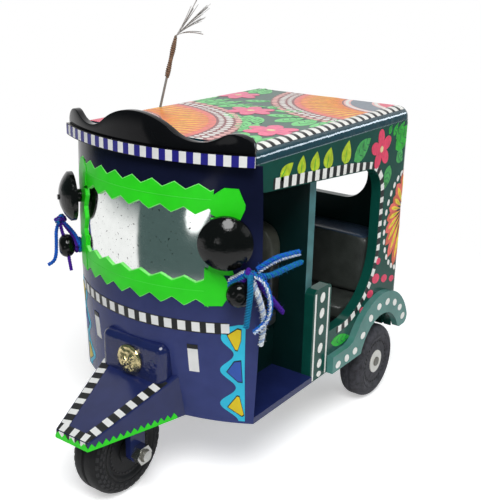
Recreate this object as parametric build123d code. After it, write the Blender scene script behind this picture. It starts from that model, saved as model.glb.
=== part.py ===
from build123d import *
import math
import os

# A painted toy auto rickshaw of board, sheet, wire and yarn. Millimetres.
# X points forward, Y to the vehicle's left, Z up from the ground; the origin is on the ground
# below the middle of the toy.

os.makedirs("parts", exist_ok=True)

# Stations along the length
nose_tip_x = 104.4
front_axle_x = 77.5
cowl_rear_x = 45.0
roof_front_x = 45.5
partition_front_x = -3.5
rear_axle_x = -69.5
body_rear_x = -93.0
roof_rear_x = -95.0

# Levels
floor_under_z = 34.0
floor_thickness = 3.0
roof_under_z = 149.0
roof_thickness = 6.4
roof_edge_radius = 2.4
roof_corner_radius = 6.0

# Board body
body_half_width = 49.0
side_thickness = 5.0
side_corner_radius = 4.6
rear_thickness = 5.0
partition_thickness = 5.5
roof_side_inset = 0.5

# Side panel: post, sill, eave and the door opening's round corners
panel_under_z = 33.0
post_top_z = 80.5
post_rear_x = -19.5
post_corner = 3.0
sill_z = 55.0
opening_rear_x = -64.0
opening_rear_low_radius = 34.0
opening_rear_high_radius = 15.0
eave_rear_z = 128.5
eave_front_z = 137.2
eave_front_corner = 7.0

# Fender
fender_thickness = 3.5
fender_width = 12.0
arch_radius = 22.5
arch_centre_z = 25.5
fender_bar_front_x = -19.0
fender_bar_top_z = 42.0
fender_blend = 10.0

# Rear window
rear_window_half_width = 29.0
rear_window_low_z = 102.4
rear_window_high_z = 131.0
rear_window_corner = 14.0

# Cowl: a barrel sheet, a plan arc at each level
cowl_side_proud = 2.3
cowl_thickness = 3.0
# columns: level z, swell of the half width, bulge in front of the rear edge
cowl_sections = [
    (floor_under_z, -1.3, 14.5),
    (66.0, 0.2, 20.0),
    (98.0, 1.0, 22.5),
    (roof_under_z, 0.0, 16.0),
]
window_side_margin = 11.8
window_low_z = 92.0
window_high_z = 137.0
window_corner = 6.0
windscreen_thickness = 1.6
windscreen_recess = 0.7
windscreen_clearance = 0.08

# Visor board and its wave crest
visor_overhang = 0.9
visor_end_taper = 4.7
visor_side_x = 51.0
visor_bulge = 13.6
visor_thickness = 5.2
crest_setback = 1.2
crest_thickness = 3.2
crest_end_inset = 0.8
crest_peak_z = 167.2
crest_shoulder_y = 19.0
crest_shoulder_z = 161.0
horn_foot_inset = 12.4
horn_foot_z = 160.5

# Nose: a hollow wedge, open below
nose_tip_half_width = 9.5
nose_tip_top_z = 38.0
nose_root_x = 58.0
nose_root_half_width = 21.5
nose_root_top_z = 55.5
nose_wall = 2.2
nose_edge_radius = 1.0

# Headlamp hood and headlamp
hood_half_width = 18.0
hood_front_x = 68.2
hood_top_z = 69.5
hood_edge_radius = 4.0
lamp_radius = 6.9
lamp_z = 59.2
lamp_ring_depth = 1.6
lamp_dome_depth = 2.2
lamp_face_radius = 2.0

# Wheels and axles
front_wheel_radius = 21.5
rear_wheel_radius = 20.0
front_tyre_width = 15.0
rear_tyre_width = 13.0
rear_wheel_proud = 2.5
tyre_shoulder = 4.0
tyre_shoulder_flats = 3
sidewall_step_radius = 13.0
sidewall_step_depth = 0.9
hub_radius = 6.2
hub_proud = 0.5
hub_seat_clearance = 0.02
axle_radius = 2.5
axle_clearance = 0.05
rear_axle_overhang = 0.6

# Fork, bolt and axle blocks
fork_gap = 1.5
fork_leg_thickness = 3.0
fork_leg_width = 9.0
fork_crown_gap = 1.0
nut_across_flats = 8.0
nut_thickness = 4.0
bolt_head_thickness = 3.5
bolt_tip = 1.6
axle_block_gap = 5.5
axle_block_length = 10.0
axle_block_thickness = 8.0
axle_block_margin = 3.0
wheel_well_clearance = 1.5

# Passenger bench
bench_front_x = -46.0
bench_base_top_z = 50.0
bench_base_inset = 8.0
bench_side_gap = 2.0
bench_overhang = 3.0
bench_cushion_thickness = 8.0
bench_back_thickness = 20.0
bench_back_recline = 5.0
bench_back_top_z = 89.0
soft_clearance = 0.3

# Driver's seat
driver_side_gap = 14.0
driver_front_x = 22.0
driver_base_top_z = 60.0
driver_cushion_thickness = 7.0
driver_back_thickness = 8.0
driver_back_top_z = 110.0
driver_back_corner = 12.0
cushion_edge = 2.0

# Mirrors and beads, both standing square off the cowl
# columns: name, side, mirror's inset from the cowl's edge, its level, bead's inset, its level
cowl_fittings = [
    ("left", 1, 10.8, 118.8, 6.0, 98.2),
    ("right", -1, 9.5, 122.6, 5.4, 97.6),
]
mirror_radius = 11.2
mirror_root_depth = 3.0
mirror_stem_radius = 3.0
mirror_stem_length = 4.5
mirror_rim = 2.0
mirror_dome = 4.6
mirror_nub_radius = 1.2
mirror_nub_height = 0.6
bead_radius = 5.4
bead_neck_radius = 1.8
bead_neck_length = 3.4
bead_height = 6.8
bead_back_land = 1.2
bead_face_radius = 1.0
bead_root_depth = 3.0

# Yarn
yarn_radius = 1.1
yarn_ring_radius = 1.2
yarn_ring_clearance = 0.1
knot_radius = 3.1
knot_touch = 0.02
# columns: name, side, knot centre from the cowl's rear edge: forward, outward, level
knots = [
    ("left", 1, (7.0, 0.2, 106.0)),
    ("right", -1, (10.9, 2.7, 109.4)),
]
# Loose ends of the left tie. Columns: name, route as offsets from the knot's centre
yarn_ends = [
    ("blue", [(-3.9, 2.8, 3.1), (-12.2, 3.5, 4.2), (-19.6, 3.5, 3.7), (-32.5, 2.2, 1.4)]),
    ("turquoise", [(-4.0, 4.9, -1.2), (-11.4, 5.6, -1.2), (-21.5, 4.6, -1.8), (-34.2, 2.7, -3.7)]),
    ("purple", [(-4.2, 1.7, -5.0), (-7.9, 3.1, -10.1), (-13.3, 2.5, -15.1), (-23.2, 1.0, -23.8)]),
    ("white", [(2.7, 4.7, -4.7), (0.5, 5.3, -10.0), (-2.0, 5.5, -16.8), (-3.3, 5.1, -23.1), (-2.4, 4.2, -31.0)]),
    ("loop", [(2.2, 8.0, 0.6), (0.6, 10.0, -6.8), (-1.2, 9.4, -13.6), (-0.6, 7.8, -19.6), (5.6, 6.4, -21.6)]),
]

# Antenna
antenna_x = -3.0
antenna_side_inset = 5.0
antenna_wire_radius = 0.6
antenna_lean = (-5.7, 5.5, 34.2)
antenna_wrap_start = 0.42
antenna_wrap_radius = 1.3
antenna_wrap_clearance = 0.03
tuft_reach = (-17.3, 4.0, 14.9)
tuft_root_radius = 1.2
tuft_tip_radius = 0.5

# Values that follow
floor_top_z = floor_under_z + floor_thickness
roof_top_z = roof_under_z + roof_thickness
body_inner_y = body_half_width - side_thickness
roof_half_width = body_half_width - roof_side_inset
cowl_half_width = body_half_width + cowl_side_proud
bench_half_width = body_inner_y - bench_side_gap
bench_base_half_width = bench_half_width - bench_base_inset
driver_half_width = body_inner_y - driver_side_gap
rear_wheel_outer_y = body_half_width + rear_wheel_proud
axle_block_y = rear_wheel_outer_y - rear_tyre_width - axle_block_gap - axle_block_thickness / 2
fender_outer_radius = arch_radius + fender_width
fender_tip_radius = fender_width / 3
window_half_width = cowl_half_width - window_side_margin
visor_half_width = cowl_half_width + visor_overhang
rear_inner_x = body_rear_x + rear_thickness
partition_rear_x = partition_front_x - partition_thickness
nose_under_z = floor_under_z
bore_radius = axle_radius + axle_clearance
far = 200.0

nodes = {}


def box_between(low, high):
    size = [h - l for l, h in zip(low, high)]
    middle = [(h + l) / 2 for l, h in zip(low, high)]
    return Pos(*middle) * Box(*size)


def side_prism(face_points, y_low, y_high):
    """A prism along Y from points (x, z)."""
    wire = Polyline(*[(x, -z) for x, z in face_points], close=True)
    return Pos(0, y_low, 0) * (Rot(-90, 0, 0) * extrude(make_face(wire), y_high - y_low))


def side_disc(radius, x, z, y_low, y_high):
    """A disc whose axis lies along Y."""
    middle = (y_low + y_high) / 2
    return Pos(x, middle, z) * Rot(90, 0, 0) * Cylinder(radius, y_high - y_low)


def front_plane(x, z=0.0):
    """A plane that faces forward: its own x runs along Y and its own y along Z."""
    return Plane(origin=(x, 0, z), x_dir=(0, 1, 0), z_dir=(1, 0, 0))


def mirrored(solid):
    return mirror(solid, about=Plane.XZ)


def side_edges(solid, x, z, reach=0.5):
    """The edges along Y that pass near the point (x, z)."""
    found = []
    for edge in solid.edges().filter_by(Axis.Y):
        place = edge.center()
        if abs(place.X - x) < reach and abs(place.Z - z) < reach:
            found.append(edge)
    return found


def cowl_arc(swell, bulge, inset):
    """Half chord and crown of the cowl's plan arc, taken in by inset."""
    half_width = cowl_half_width + swell
    radius = (half_width ** 2 + bulge ** 2) / (2 * bulge)
    half_chord = math.sqrt((radius - inset) ** 2 - (radius - bulge) ** 2)
    return half_chord, cowl_rear_x + bulge - inset


def cowl_core(inset):
    """The filled barrel behind the cowl's outer face, taken in by inset."""
    faces = []
    for z, swell, bulge in cowl_sections:
        half_chord, crown_x = cowl_arc(swell, bulge, inset)
        ends = [(cowl_rear_x, half_chord, z), (cowl_rear_x, -half_chord, z)]
        arc = ThreePointArc(ends[0], (crown_x, 0, z), ends[1])
        faces.append(make_face([arc, Line(ends[1], ends[0])]))
    return loft(faces)


def window_prism(clearance):
    """The windscreen's opening as a prism along X."""
    width = 2 * (window_half_width - clearance)
    height = window_high_z - window_low_z - 2 * clearance
    outline = RectangleRounded(width, height, window_corner)
    middle_z = (window_high_z + window_low_z) / 2
    return extrude(front_plane(cowl_rear_x, middle_z) * outline, far)


def build_cowl():
    outer = cowl_core(0)
    shell = outer - cowl_core(cowl_thickness)
    nodes["cowl"] = shell - window_prism(0)
    pane = cowl_core(windscreen_recess) - cowl_core(windscreen_recess + windscreen_thickness)
    nodes["windscreen"] = pane & window_prism(windscreen_clearance)
    return outer


def visor_plan(inset, rear_x):
    """The visor board's plan, taken in by inset at its curved front and its ends."""
    radius = (visor_half_width ** 2 + visor_bulge ** 2) / (2 * visor_bulge)
    half_width = visor_half_width - inset
    centre_x = visor_side_x + visor_bulge - radius
    corner_x = centre_x + math.sqrt((radius - inset) ** 2 - half_width ** 2)
    crown_x = centre_x + radius - inset
    left = (corner_x, half_width)
    right = (corner_x, -half_width)
    front = ThreePointArc(left, (crown_x, 0), right)
    rear_half_width = half_width - visor_end_taper
    rest = Polyline(right, (rear_x, -rear_half_width), (rear_x, rear_half_width), left)
    return make_face([front, rest])


def build_visor():
    board = Pos(0, 0, roof_under_z) * extrude(visor_plan(0, roof_front_x), visor_thickness)
    nodes["visor_board"] = board
    crest_low = roof_under_z + visor_thickness
    lowest_x = visor_side_x - visor_bulge
    outer = extrude(visor_plan(crest_setback, lowest_x), far)
    inner = extrude(visor_plan(crest_setback + crest_thickness, lowest_x - 1), far)
    strip = Pos(0, 0, crest_low) * (outer - inner)
    strip = strip & box_between((visor_side_x - crest_thickness, -far, 0), (far, far, 2 * far))
    nodes["visor_crest"] = strip & wave_prism(crest_low)


def wave_prism(low_z):
    """The crest's wave seen from the front, as a prism along X: a middle hump and two end horns."""
    end_y = visor_half_width - crest_end_inset
    slope = 2 * math.atan2(crest_peak_z - crest_shoulder_z, crest_shoulder_y)
    lines = []
    for side in (1, -1):
        shoulder = (side * crest_shoulder_y, crest_shoulder_z)
        foot = (side * (end_y - horn_foot_inset), horn_foot_z)
        valley = TangentArc(shoulder, foot, tangent=(side * math.cos(slope), -math.sin(slope)))
        horn = TangentArc(foot, (side * end_y, low_z), tangent=valley % 1)
        lines += [valley, horn]
    hump = ThreePointArc(
        (crest_shoulder_y, crest_shoulder_z), (0, crest_peak_z), (-crest_shoulder_y, crest_shoulder_z)
    )
    base = Line((end_y, low_z), (-end_y, low_z))
    return extrude(front_plane(0) * make_face(lines + [hump, base]), far)


def nose_wedge(inset, low_z):
    """The nose's wedge, its sides, top and tip taken in by inset."""
    length = nose_tip_x - nose_root_x
    widening = (nose_root_half_width - nose_tip_half_width) / length
    climb = (nose_root_top_z - nose_tip_top_z) / length
    plan = []
    profile = []
    for x in (nose_tip_x - inset, cowl_rear_x):
        back = nose_tip_x - x
        half_width = nose_tip_half_width + widening * back - inset * math.hypot(1, widening)
        top = nose_tip_top_z + climb * back - inset * math.hypot(1, climb)
        plan.append((x, half_width))
        profile.append((x, top))
    plan += [(x, -half_width) for x, half_width in reversed(plan)]
    profile += [(x, low_z) for x, _ in reversed(profile)]
    footprint = Pos(0, 0, low_z) * extrude(make_face(Polyline(*plan, close=True)), far)
    return footprint & side_prism(profile, -far, far)


def build_nose(cowl_outer):
    wedge = nose_wedge(0, nose_under_z)
    top_edges = [
        edge for edge in wedge.edges()
        if edge.center().Z > (nose_under_z + nose_tip_top_z) / 2 and edge.center().X > nose_root_x
    ]
    wedge = fillet(top_edges, nose_edge_radius)
    cavity = nose_wedge(nose_wall, nose_under_z - 1)
    nodes["nose"] = wedge - cavity - cowl_outer - front_floor()
    block = box_between((cowl_rear_x, -hood_half_width, floor_top_z), (hood_front_x, hood_half_width, hood_top_z))
    crown = block.faces().sort_by(Axis.X)[-1].edges().sort_by(Axis.Z)[1:]
    upright = block.edges().filter_by(Axis.X).sort_by(Axis.Z)[2:]
    block = fillet(list(crown) + list(upright), hood_edge_radius)
    nodes["headlamp_hood"] = block - cowl_outer - nose_wedge(0, nose_under_z)
    rim_x = hood_front_x + lamp_ring_depth
    dome_x = rim_x + lamp_dome_depth
    shoulder = ((lamp_radius + lamp_face_radius) / 2, rim_x + 0.7 * lamp_dome_depth)
    ring = Polyline((hood_front_x, 0), (hood_front_x, lamp_radius), (rim_x, lamp_radius))
    dome = ThreePointArc((rim_x, lamp_radius), shoulder[::-1], (dome_x, lamp_face_radius))
    face = Polyline((dome_x, lamp_face_radius), (dome_x, 0), (hood_front_x, 0))
    nodes["headlamp"] = Pos(0, 0, lamp_z) * revolve(make_face([ring, dome, face]), Axis.X)
    return cavity


def front_floor():
    """The floor under the driver, filling the cowl's foot from wall to wall."""
    _, swell, bulge = cowl_sections[0]
    half_chord, crown_x = cowl_arc(swell, bulge, cowl_thickness)
    arc = ThreePointArc((cowl_rear_x, half_chord), (crown_x, 0), (cowl_rear_x, -half_chord))
    foot = make_face([arc, Line((cowl_rear_x, -half_chord), (cowl_rear_x, half_chord))])
    plate = extrude(foot, floor_thickness)
    deck = box_between(
        (partition_front_x, -cowl_half_width - swell, 0),
        (cowl_rear_x, cowl_half_width + swell, floor_thickness),
    )
    return Pos(0, 0, floor_under_z) * (plate + deck)


def build_floors():
    floor = front_floor()
    nodes["front_floor"] = floor
    rear = box_between((rear_inner_x, -body_inner_y, floor_under_z), (partition_front_x, body_inner_y, floor_top_z))
    well_y = rear_wheel_outer_y - rear_tyre_width - wheel_well_clearance
    for side in (1, -1):
        low_y, high_y = sorted((side * well_y, side * far))
        rear = rear - box_between(
            (rear_axle_x - arch_radius, low_y, 0), (rear_axle_x + arch_radius, high_y, floor_top_z + 1)
        )
    nodes["rear_floor"] = rear


def panel_outline():
    """The side panel seen from the side: post, sill, rear quarter and eave."""
    return [
        (cowl_rear_x, roof_under_z),
        (cowl_rear_x, eave_front_z),
        (opening_rear_x, eave_rear_z),
        (opening_rear_x, sill_z),
        (post_rear_x, sill_z),
        (post_rear_x, post_top_z),
        (partition_front_x, post_top_z),
        (partition_front_x, panel_under_z),
        (body_rear_x, panel_under_z),
        (body_rear_x, roof_under_z),
    ]


def build_side_panels():
    panel = side_prism(panel_outline(), body_inner_y, body_half_width)
    # columns: corner x, corner z, radius
    corners = [
        (cowl_rear_x, eave_front_z, eave_front_corner),
        (opening_rear_x, eave_rear_z, opening_rear_high_radius),
        (opening_rear_x, sill_z, opening_rear_low_radius),
        (post_rear_x, post_top_z, post_corner),
        (partition_front_x, post_top_z, post_corner),
    ]
    for x, z, radius in corners:
        panel = fillet(side_edges(panel, x, z), radius)
    rear_corner = panel.edges().filter_by(Axis.Z).sort_by(Axis.X)[:2].sort_by(Axis.Y)[-1]
    panel = fillet(rear_corner, side_corner_radius)
    panel = panel - side_disc(arch_radius, rear_axle_x, arch_centre_z, 0, far)
    nodes["side_panel_left"] = panel
    nodes["side_panel_right"] = mirrored(panel)


def build_fenders():
    low_y = body_half_width
    high_y = body_half_width + fender_thickness
    disc = side_disc(fender_outer_radius, rear_axle_x, arch_centre_z, low_y, high_y)
    disc = disc & box_between((-far, low_y, panel_under_z), (far, high_y, far))
    bar = box_between((rear_axle_x, low_y, panel_under_z), (fender_bar_front_x, high_y, fender_bar_top_z))
    fender = disc + bar
    meet_x = rear_axle_x + math.sqrt(fender_outer_radius ** 2 - (fender_bar_top_z - arch_centre_z) ** 2)
    fender = fillet(side_edges(fender, meet_x, fender_bar_top_z), fender_blend)
    fender = fender - side_disc(arch_radius, rear_axle_x, arch_centre_z, 0, far)
    drop = panel_under_z - arch_centre_z
    tip_x = rear_axle_x - math.sqrt(fender_outer_radius ** 2 - drop ** 2)
    tip_in_x = rear_axle_x - math.sqrt(arch_radius ** 2 - drop ** 2)
    tip = side_edges(fender, tip_x, panel_under_z) + side_edges(fender, tip_in_x, panel_under_z)
    fender = fillet(tip, fender_tip_radius)
    nodes["fender_left"] = fender
    nodes["fender_right"] = mirrored(fender)


def build_body():
    width = 2 * rear_window_half_width
    height = rear_window_high_z - rear_window_low_z
    outline = RectangleRounded(width, height, rear_window_corner)
    middle_z = (rear_window_high_z + rear_window_low_z) / 2
    window = extrude(front_plane(body_rear_x, middle_z) * outline, rear_thickness)
    rear = box_between((body_rear_x, -body_inner_y, floor_under_z), (rear_inner_x, body_inner_y, roof_under_z))
    nodes["rear_panel"] = rear - window
    nodes["partition"] = box_between(
        (partition_rear_x, -body_inner_y, floor_top_z), (partition_front_x, body_inner_y, roof_under_z)
    )
    roof = box_between((roof_rear_x, -roof_half_width, roof_under_z), (roof_front_x, roof_half_width, roof_top_z))
    roof = fillet(roof.edges().filter_by(Axis.Z).sort_by(Axis.X)[:2], roof_corner_radius)
    top = roof.faces().sort_by(Axis.Z)[-1]
    rounded = top.edges().sort_by(Axis.X)[:-1]
    nodes["roof"] = fillet(rounded, roof_edge_radius)


def cushion(low, high, corner=None):
    """A pad with every edge eased; corner rounds its two upper corners seen along X."""
    pad = box_between(low, high)
    if corner:
        pad = fillet(pad.edges().filter_by(Axis.X).sort_by(Axis.Z)[2:], corner)
    top = pad.faces().sort_by(Axis.X)[-1]
    return fillet(top.edges(), cushion_edge)


def build_seats():
    bench_seat_z = bench_base_top_z + bench_cushion_thickness
    nodes["bench_base"] = box_between(
        (rear_inner_x, -bench_base_half_width, floor_top_z),
        (bench_front_x, bench_base_half_width, bench_base_top_z),
    )
    nodes["bench_cushion"] = cushion(
        (rear_inner_x + soft_clearance, -bench_half_width, bench_base_top_z),
        (bench_front_x + bench_overhang, bench_half_width, bench_seat_z),
    )
    back_low_z = bench_seat_z + soft_clearance
    back_top_x = rear_inner_x + bench_back_thickness
    back = side_prism(
        [(rear_inner_x, back_low_z), (back_top_x + bench_back_recline, back_low_z),
         (back_top_x, bench_back_top_z), (rear_inner_x, bench_back_top_z)],
        -bench_half_width, bench_half_width,
    )
    nodes["bench_back"] = fillet(back.faces().sort_by(Axis.X)[-1].edges(), cushion_edge)
    driver_seat_z = driver_base_top_z + driver_cushion_thickness
    nodes["driver_base"] = box_between(
        (partition_front_x, -driver_half_width + bench_overhang, floor_top_z),
        (driver_front_x - bench_overhang, driver_half_width - bench_overhang, driver_base_top_z),
    )
    nodes["driver_cushion"] = cushion(
        (partition_front_x + soft_clearance, -driver_half_width, driver_base_top_z),
        (driver_front_x, driver_half_width, driver_seat_z),
    )
    nodes["driver_back"] = cushion(
        (partition_front_x, -driver_half_width, driver_seat_z + soft_clearance),
        (partition_front_x + driver_back_thickness, driver_half_width, driver_back_top_z),
        driver_back_corner,
    )


def tyre(radius, width):
    """A tyre about the Y axis: shoulders turned in a few flats and stepped sidewalls."""
    half = width / 2
    inner = hub_radius + hub_seat_clearance
    step = half - sidewall_step_depth
    outline = [
        (inner, step), (sidewall_step_radius, step),
        (sidewall_step_radius + sidewall_step_depth, half),
    ]
    for flat in range(tyre_shoulder_flats + 1):
        turn = math.pi / 2 * flat / tyre_shoulder_flats
        outline.append((
            radius - tyre_shoulder * (1 - math.sin(turn)),
            half - tyre_shoulder * (1 - math.cos(turn)),
        ))
    outline += [(r, -y) for r, y in reversed(outline)]
    return revolve(make_face(Polyline(*outline, close=True)), Axis.Y)


def hub(width):
    """A nylon hub about the Y axis, bored for its axle, a little proud of the tyre's stepped wall."""
    half = width / 2 - sidewall_step_depth + hub_proud
    outline = make_face(
        Polyline((bore_radius, -half), (hub_radius, -half), (hub_radius, half), (bore_radius, half), close=True)
    )
    return revolve(outline, Axis.Y)


def build_wheels():
    rear_y = rear_wheel_outer_y - rear_tyre_width / 2
    # columns: name, axle x, middle y, radius, tyre width
    wheels = [
        ("front_{}", front_axle_x, 0.0, front_wheel_radius, front_tyre_width),
        ("rear_{}_left", rear_axle_x, rear_y, rear_wheel_radius, rear_tyre_width),
        ("rear_{}_right", rear_axle_x, -rear_y, rear_wheel_radius, rear_tyre_width),
    ]
    for name, x, y, radius, width in wheels:
        nodes[name.format("tyre")] = Pos(x, y, radius) * tyre(radius, width)
        nodes[name.format("hub")] = Pos(x, y, radius) * hub(width)


def build_running_gear(nose_cavity):
    leg_in = front_tyre_width / 2 + fork_gap
    leg_out = leg_in + fork_leg_thickness
    low_x = front_axle_x - fork_leg_width / 2
    high_x = front_axle_x + fork_leg_width / 2
    axle_z = front_wheel_radius
    crown_z = axle_z + front_wheel_radius + fork_crown_gap
    fork = box_between((low_x, -leg_out, axle_z), (high_x, leg_out, far))
    fork = fork + side_disc(fork_leg_width / 2, front_axle_x, axle_z, -leg_out, leg_out)
    fork = fork - box_between((low_x - 1, -leg_in, 0), (high_x + 1, leg_in, crown_z))
    fork = fork - side_disc(bore_radius, front_axle_x, axle_z, -far, far)
    below = box_between((-far, -far, -far), (far, far, nose_under_z))
    nodes["front_fork"] = (fork & nose_cavity) + (fork & below)
    nut_radius = nut_across_flats / 2
    shank = side_disc(axle_radius, front_axle_x, axle_z, -leg_out, leg_out + nut_thickness + bolt_tip)
    # columns: inner face y, outer face y
    ends = [(leg_out, leg_out + nut_thickness), (-leg_out - bolt_head_thickness, -leg_out)]
    for low_y, high_y in ends:
        six = extrude(RegularPolygon(nut_radius, 6, major_radius=False), high_y - low_y)
        shank = shank + Pos(front_axle_x, high_y, axle_z) * Rot(90, 0, 0) * six
    nodes["front_axle_bolt"] = shank

    reach = rear_wheel_outer_y - sidewall_step_depth + hub_proud + rear_axle_overhang
    axle_z = rear_wheel_radius
    nodes["rear_axle"] = side_disc(axle_radius, rear_axle_x, axle_z, -reach, reach)
    blocks = []
    for side in (1, -1):
        middle = side * axle_block_y
        low = (rear_axle_x - axle_block_length / 2, middle - axle_block_thickness / 2,
               axle_z - axle_radius - axle_block_margin)
        high = (rear_axle_x + axle_block_length / 2, middle + axle_block_thickness / 2, floor_under_z)
        blocks.append(box_between(low, high) - side_disc(bore_radius, rear_axle_x, axle_z, -far, far))
    nodes["axle_blocks"] = Compound(children=blocks)


def cowl_place(base_y, z, side):
    """A point on the cowl's outer face and the plan angle of its normal there."""
    upper = next(i for i, section in enumerate(cowl_sections) if section[0] >= z)
    low_z, low_swell, low_bulge = cowl_sections[upper - 1]
    high_z, high_swell, high_bulge = cowl_sections[upper]
    share = (z - low_z) / (high_z - low_z)
    half_width = cowl_half_width + low_swell + (high_swell - low_swell) * share
    bulge = low_bulge + (high_bulge - low_bulge) * share
    radius = (half_width ** 2 + bulge ** 2) / (2 * bulge)
    x = cowl_rear_x + bulge - radius + math.sqrt(radius ** 2 - base_y ** 2)
    return (x, side * base_y, z), side * math.degrees(math.asin(base_y / radius))


def stand_off(profile, base_y, z, side, cowl_outer):
    """A turned piece standing square off the cowl, its foot trimmed to the cowl's face."""
    place, angle = cowl_place(base_y, z, side)
    turned = revolve(profile, Axis.X)
    return Pos(*place) * Rot(0, 0, angle) * turned - cowl_outer


def mirror_profile():
    rim_x = mirror_stem_length
    front_x = rim_x + mirror_rim
    apex_x = front_x + mirror_dome
    nub_x = apex_x + mirror_nub_height
    sphere = (mirror_radius ** 2 + mirror_dome ** 2) / (2 * mirror_dome)
    nub_root_x = apex_x - sphere + math.sqrt(sphere ** 2 - mirror_nub_radius ** 2)
    middle = mirror_radius * 0.6
    middle_x = apex_x - sphere + math.sqrt(sphere ** 2 - middle ** 2)
    back = Polyline(
        (-mirror_root_depth, 0), (-mirror_root_depth, mirror_stem_radius), (rim_x, mirror_stem_radius),
        (rim_x, mirror_radius), (front_x, mirror_radius),
    )
    dome = ThreePointArc(
        (front_x, mirror_radius), (middle_x, middle), (nub_root_x, mirror_nub_radius)
    )
    nub = Polyline((nub_root_x, mirror_nub_radius), (nub_x, mirror_nub_radius), (nub_x, 0), (-mirror_root_depth, 0))
    return make_face([back, dome, nub])


def bead_profile():
    front_x = bead_neck_length + bead_height
    middle_x = bead_neck_length + bead_height / 2
    back_flat = bead_neck_radius + bead_back_land
    stem = Polyline(
        (-bead_root_depth, 0), (-bead_root_depth, bead_neck_radius), (bead_neck_length, bead_neck_radius),
        (bead_neck_length, back_flat),
    )
    round_face = ThreePointArc((bead_neck_length, back_flat), (middle_x, bead_radius), (front_x, bead_face_radius))
    close = Polyline((front_x, bead_face_radius), (front_x, 0), (-bead_root_depth, 0))
    return make_face([stem, round_face, close])


def build_cowl_fittings(cowl_outer):
    for name, side, mirror_inset, mirror_z, bead_inset, bead_z in cowl_fittings:
        mirror_y = cowl_half_width - mirror_inset
        bead_y = cowl_half_width - bead_inset
        nodes[f"mirror_{name}"] = stand_off(mirror_profile(), mirror_y, mirror_z, side, cowl_outer)
        nodes[f"bead_{name}"] = stand_off(bead_profile(), bead_y, bead_z, side, cowl_outer)


def knot_centre(side, offset):
    forward, outward, level = offset
    return Vector(cowl_rear_x + forward, side * (cowl_half_width + outward), level)


def build_yarn_ties():
    """A ring of yarn round each bead's neck, a short strand from it and the knot."""
    for (name, side, offset), fitting in zip(knots, cowl_fittings):
        knot = knot_centre(side, offset)
        *_, bead_inset, bead_z = fitting
        place, angle = cowl_place(cowl_half_width - bead_inset, bead_z, side)
        out = Vector(math.cos(math.radians(angle)), math.sin(math.radians(angle)), 0)
        centre = Vector(*place) + out * (bead_neck_length / 2)
        ring_middle = bead_neck_radius + yarn_ring_clearance + yarn_ring_radius
        ring = Pos(*centre) * Rot(0, 0, angle) * Rot(0, 90, 0) * Torus(ring_middle, yarn_ring_radius)
        away = knot - centre
        flat = away - out * away.dot(out)
        start = centre + flat.normalized() * ring_middle
        strand = knot - start
        bridge = Plane(origin=start, z_dir=strand) * extrude(Circle(yarn_ring_radius), strand.length)
        nodes[f"yarn_tie_{name}"] = ring + bridge + Pos(*knot) * Sphere(knot_radius)


def yarn_route(points):
    """Straight runs with tangent arcs as large as the shorter run at each corner allows."""
    radii = []
    for before, corner, after in zip(points, points[1:], points[2:]):
        run_in = corner - before
        run_out = after - corner
        turn = math.radians(run_in.get_angle(run_out))
        radii.append(0.45 * min(run_in.length, run_out.length) / math.tan(turn / 2))
    return FilletPolyline(*points, radius=radii), radii


def build_yarn_ends():
    _, side, offset = knots[0]
    knot = knot_centre(side, offset)
    for name, route in yarn_ends:
        points = [knot + Vector(*step) for step in route]
        start = knot + (points[0] - knot).normalized() * (knot_radius + knot_touch)
        points.insert(0, start)
        path, radii = yarn_route(points)
        tube = sweep(Plane(origin=start, z_dir=path % 0) * Circle(yarn_radius), path=path)
        nodes[f"yarn_{name}"] = tube
        expected = math.pi * yarn_radius ** 2 * path.length
        bends = ", ".join(f"{radius:.1f}" for radius in radii)
        print(f"yarn_{name}: {path.length:.1f} long, bends {bends}, volume {tube.volume / expected:.3f}")


def rod(start, run, radius):
    return Plane(origin=start, z_dir=run) * extrude(Circle(radius), run.length)


def build_antenna():
    base = Vector(antenna_x, antenna_side_inset - roof_half_width, roof_top_z)
    lean = Vector(*antenna_lean)
    wire = rod(base - lean * 0.1, lean * 1.1, antenna_wire_radius)
    nodes["antenna_wire"] = wire & box_between((-far, -far, roof_top_z), (far, far, far + roof_top_z))
    wrap = rod(base + lean * antenna_wrap_start, lean * (1 - antenna_wrap_start), antenna_wrap_radius)
    bore = rod(base, lean * 1.1, antenna_wire_radius + antenna_wrap_clearance)
    nodes["antenna_wrap"] = wrap - bore
    reach = Vector(*tuft_reach)
    cone = Cone(tuft_root_radius, tuft_tip_radius, reach.length)
    tuft = Plane(origin=base + lean + reach / 2, z_dir=reach) * cone
    nodes["antenna_tuft"] = tuft - rod(base, lean, reach.length)


cowl_outer_solid = build_cowl()
build_visor()
build_floors()
nose_inside = build_nose(cowl_outer_solid)
build_side_panels()
build_fenders()
build_body()
build_seats()
build_wheels()
build_running_gear(nose_inside)
build_cowl_fittings(cowl_outer_solid)
build_yarn_ties()
build_yarn_ends()
build_antenna()

for node, shape in nodes.items():
    export_step(shape, f"parts/{node}.step")
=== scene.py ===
import random
from math import asin, atan, copysign, cos, dist, hypot, pi, prod, radians, sin, sqrt

import bmesh
import bpy
from mathutils import Matrix, Vector
from mathutils.bvhtree import BVHTree


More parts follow.
